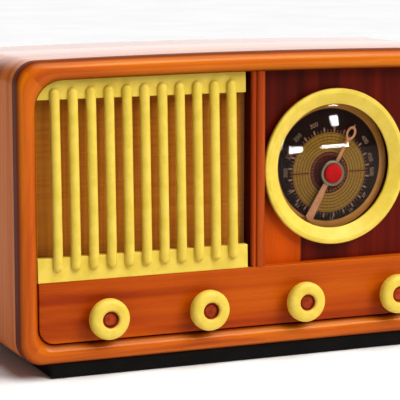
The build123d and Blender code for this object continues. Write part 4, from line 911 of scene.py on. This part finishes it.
# %% Knobs
KNOB_RIM, KNOB_NECK, SHAFT_HOLE = 10.5, 13.5, 3.05
for name in ("volume", "tone", "tuning", "wave"):
    low, high = reach(name + "_knob")
    middle = ((low[0] + high[0]) / 2, (low[2] + high[2]) / 2)
    insert_low, insert_high = reach(name + "_insert")
    hole, outside = (insert_high[0] - insert_low[0]) / 2 + 0.05, (high[0] - low[0]) / 2
    tube = (outside - hole) / 2
    swing = np.radians(np.linspace(0, 180, 25))
    power = np.where(swing < math.pi / 2, 2.3, 4.0)
    fuller = (np.abs(np.cos(swing)) ** power + np.sin(swing) ** power) ** (-1 / power)
    nose_points = np.stack([(outside + hole) / 2 + tube * fuller * np.cos(swing),
                            low[1] + tube * (1 - fuller * np.sin(swing))], -1)
    rim_back = low[1] + KNOB_RIM
    skirt = [(SHAFT_HOLE, high[1]), (KNOB_NECK, high[1]), (KNOB_NECK, rim_back), (outside - 1.6, rim_back),
             (outside - 0.5, rim_back - 0.5), (outside, rim_back - 1.7), (outside, low[1] + tube + 0.6)]
    well = [(hole, insert_high[1]), (SHAFT_HOLE, insert_high[1])]
    profile = np.concatenate([skirt, nose_points, well])
    dress(turned(name + "_knob_turned", profile, middle, 128), name + "_set", "cream_plastic", cream_plastic,
          name + "_knob")
    bulge = np.linspace(0, 1, 10)
    face = np.stack([bulge * (hole - 2.0), insert_low[1] + 0.4 * bulge ** 2], -1)
    lining = [(hole - 1.5, insert_low[1] + 1.4), (hole - 0.9, insert_low[1] + 1.4),
              (hole - 0.6, insert_low[1] - 0.9), (hole - 0.05, insert_low[1] - 1.1),
              (hole - 0.05, insert_high[1]), (0, insert_high[1])]
    disc = np.concatenate([face, lining])
    dress(turned(name + "_insert_turned", disc, middle, 64, closed=False), name + "_set", "brown_plastic",
          brown_plastic, name + "_insert")
    print(name, "knob at x, z =", [round(float(c), 1) for c in middle], "mm")

# %% [markdown]
# ## The back and the works
# The back cover is pressed board, held by slotted screws, with a strip of aerial and earth sockets.
# The chassis, valves, coils and speaker behind it are seen only through its slots, so their CAD
# shapes stay and each gets the finish of its metal, glass or card.

# %% Back cover, terminals and works
hardboard = mottled("hardboard", paint(104, 72, 46), paint(126, 90, 60), 700.0, (0.6, 0.8), 0.12, 1600.0)
dress(softened("back_cover"), "cabinet", "hardboard", hardboard, "back_cover")
dress(softened("aerial_strip", 0.3), "cabinet", "brown_laminate", brown_laminate, "aerial_strip")
dress(softened("mains_gland", 0.4), "cabinet", "black_rubber", black_rubber, "mains_gland")
dress(softened("aerial_sockets"), "cabinet", "brass", brass, "aerial_sockets")
dress(softened("back_screws"), "cabinet", "steel", steel, "back_screws")

material, wire = start("valve_glass")
smoke = wire.noise(40.0, 2.0).between(0.4, 0.7)
tinted = wire.node("BsdfTransparent", inputs={"Color": (0.75, 0.78, 0.8, 1.0)})
shine = wire.node("BsdfGlossy", inputs={"Color": paint(135, 138, 143), "Roughness": 0.08})
wire.node("OutputMaterial", inputs={"Surface": wire.node("MixShader", inputs={
    0: wire.maths("MAXIMUM", smoke * 0.5, wire.node("Fresnel", inputs={"IOR": 1.5})), 1: tinted, 2: shine})})
valve_glass = material
cord_thread = mottled("cord_thread", paint(120, 96, 60), paint(150, 122, 80), 2500.0, (0.8, 0.9), 0.1, 4000.0)

WORKS = {
    "back_battens": ("plain_ply", plywood), "chassis": ("zinc_sheet", zinc_sheet),
    "chassis_bolts": ("steel", steel),
    "felt_pads": ("felt", felt), "aluminium_cans": ("aluminium_sheet", aluminium_sheet),
    "power_transformer": ("black_iron", black_iron), "output_transformer": ("black_iron", black_iron),
    "valve_bases": ("black_moulding", black_moulding), "valve_glass": ("clear_glass", valve_glass),
    "gang_frame": ("steel", steel), "gang_rotor": ("aluminium_sheet", aluminium_sheet),
    "gang_bracket": ("zinc_sheet", zinc_sheet), "dial_drum": ("black_moulding", black_moulding),
    "dial_cord": ("cord_thread", cord_thread), "speaker_basket": ("pressed_steel", pressed_steel),
    "speaker_magnet": ("black_iron", black_iron), "speaker_cone": ("cone_paper", cone_paper),
    "potentiometers": ("nickel", nickel), "wave_switch": ("brown_laminate", brown_laminate),
    "volume_shaft": ("steel", steel), "tone_shaft": ("steel", steel), "tuning_shaft": ("steel", steel),
    "wave_shaft": ("steel", steel),
}
for node, (slot, material) in WORKS.items():
    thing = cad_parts[node]
    thing.data.materials.clear()
    thing.data.materials.append(material)
print("CAD nodes that keep their shape:", len(WORKS))
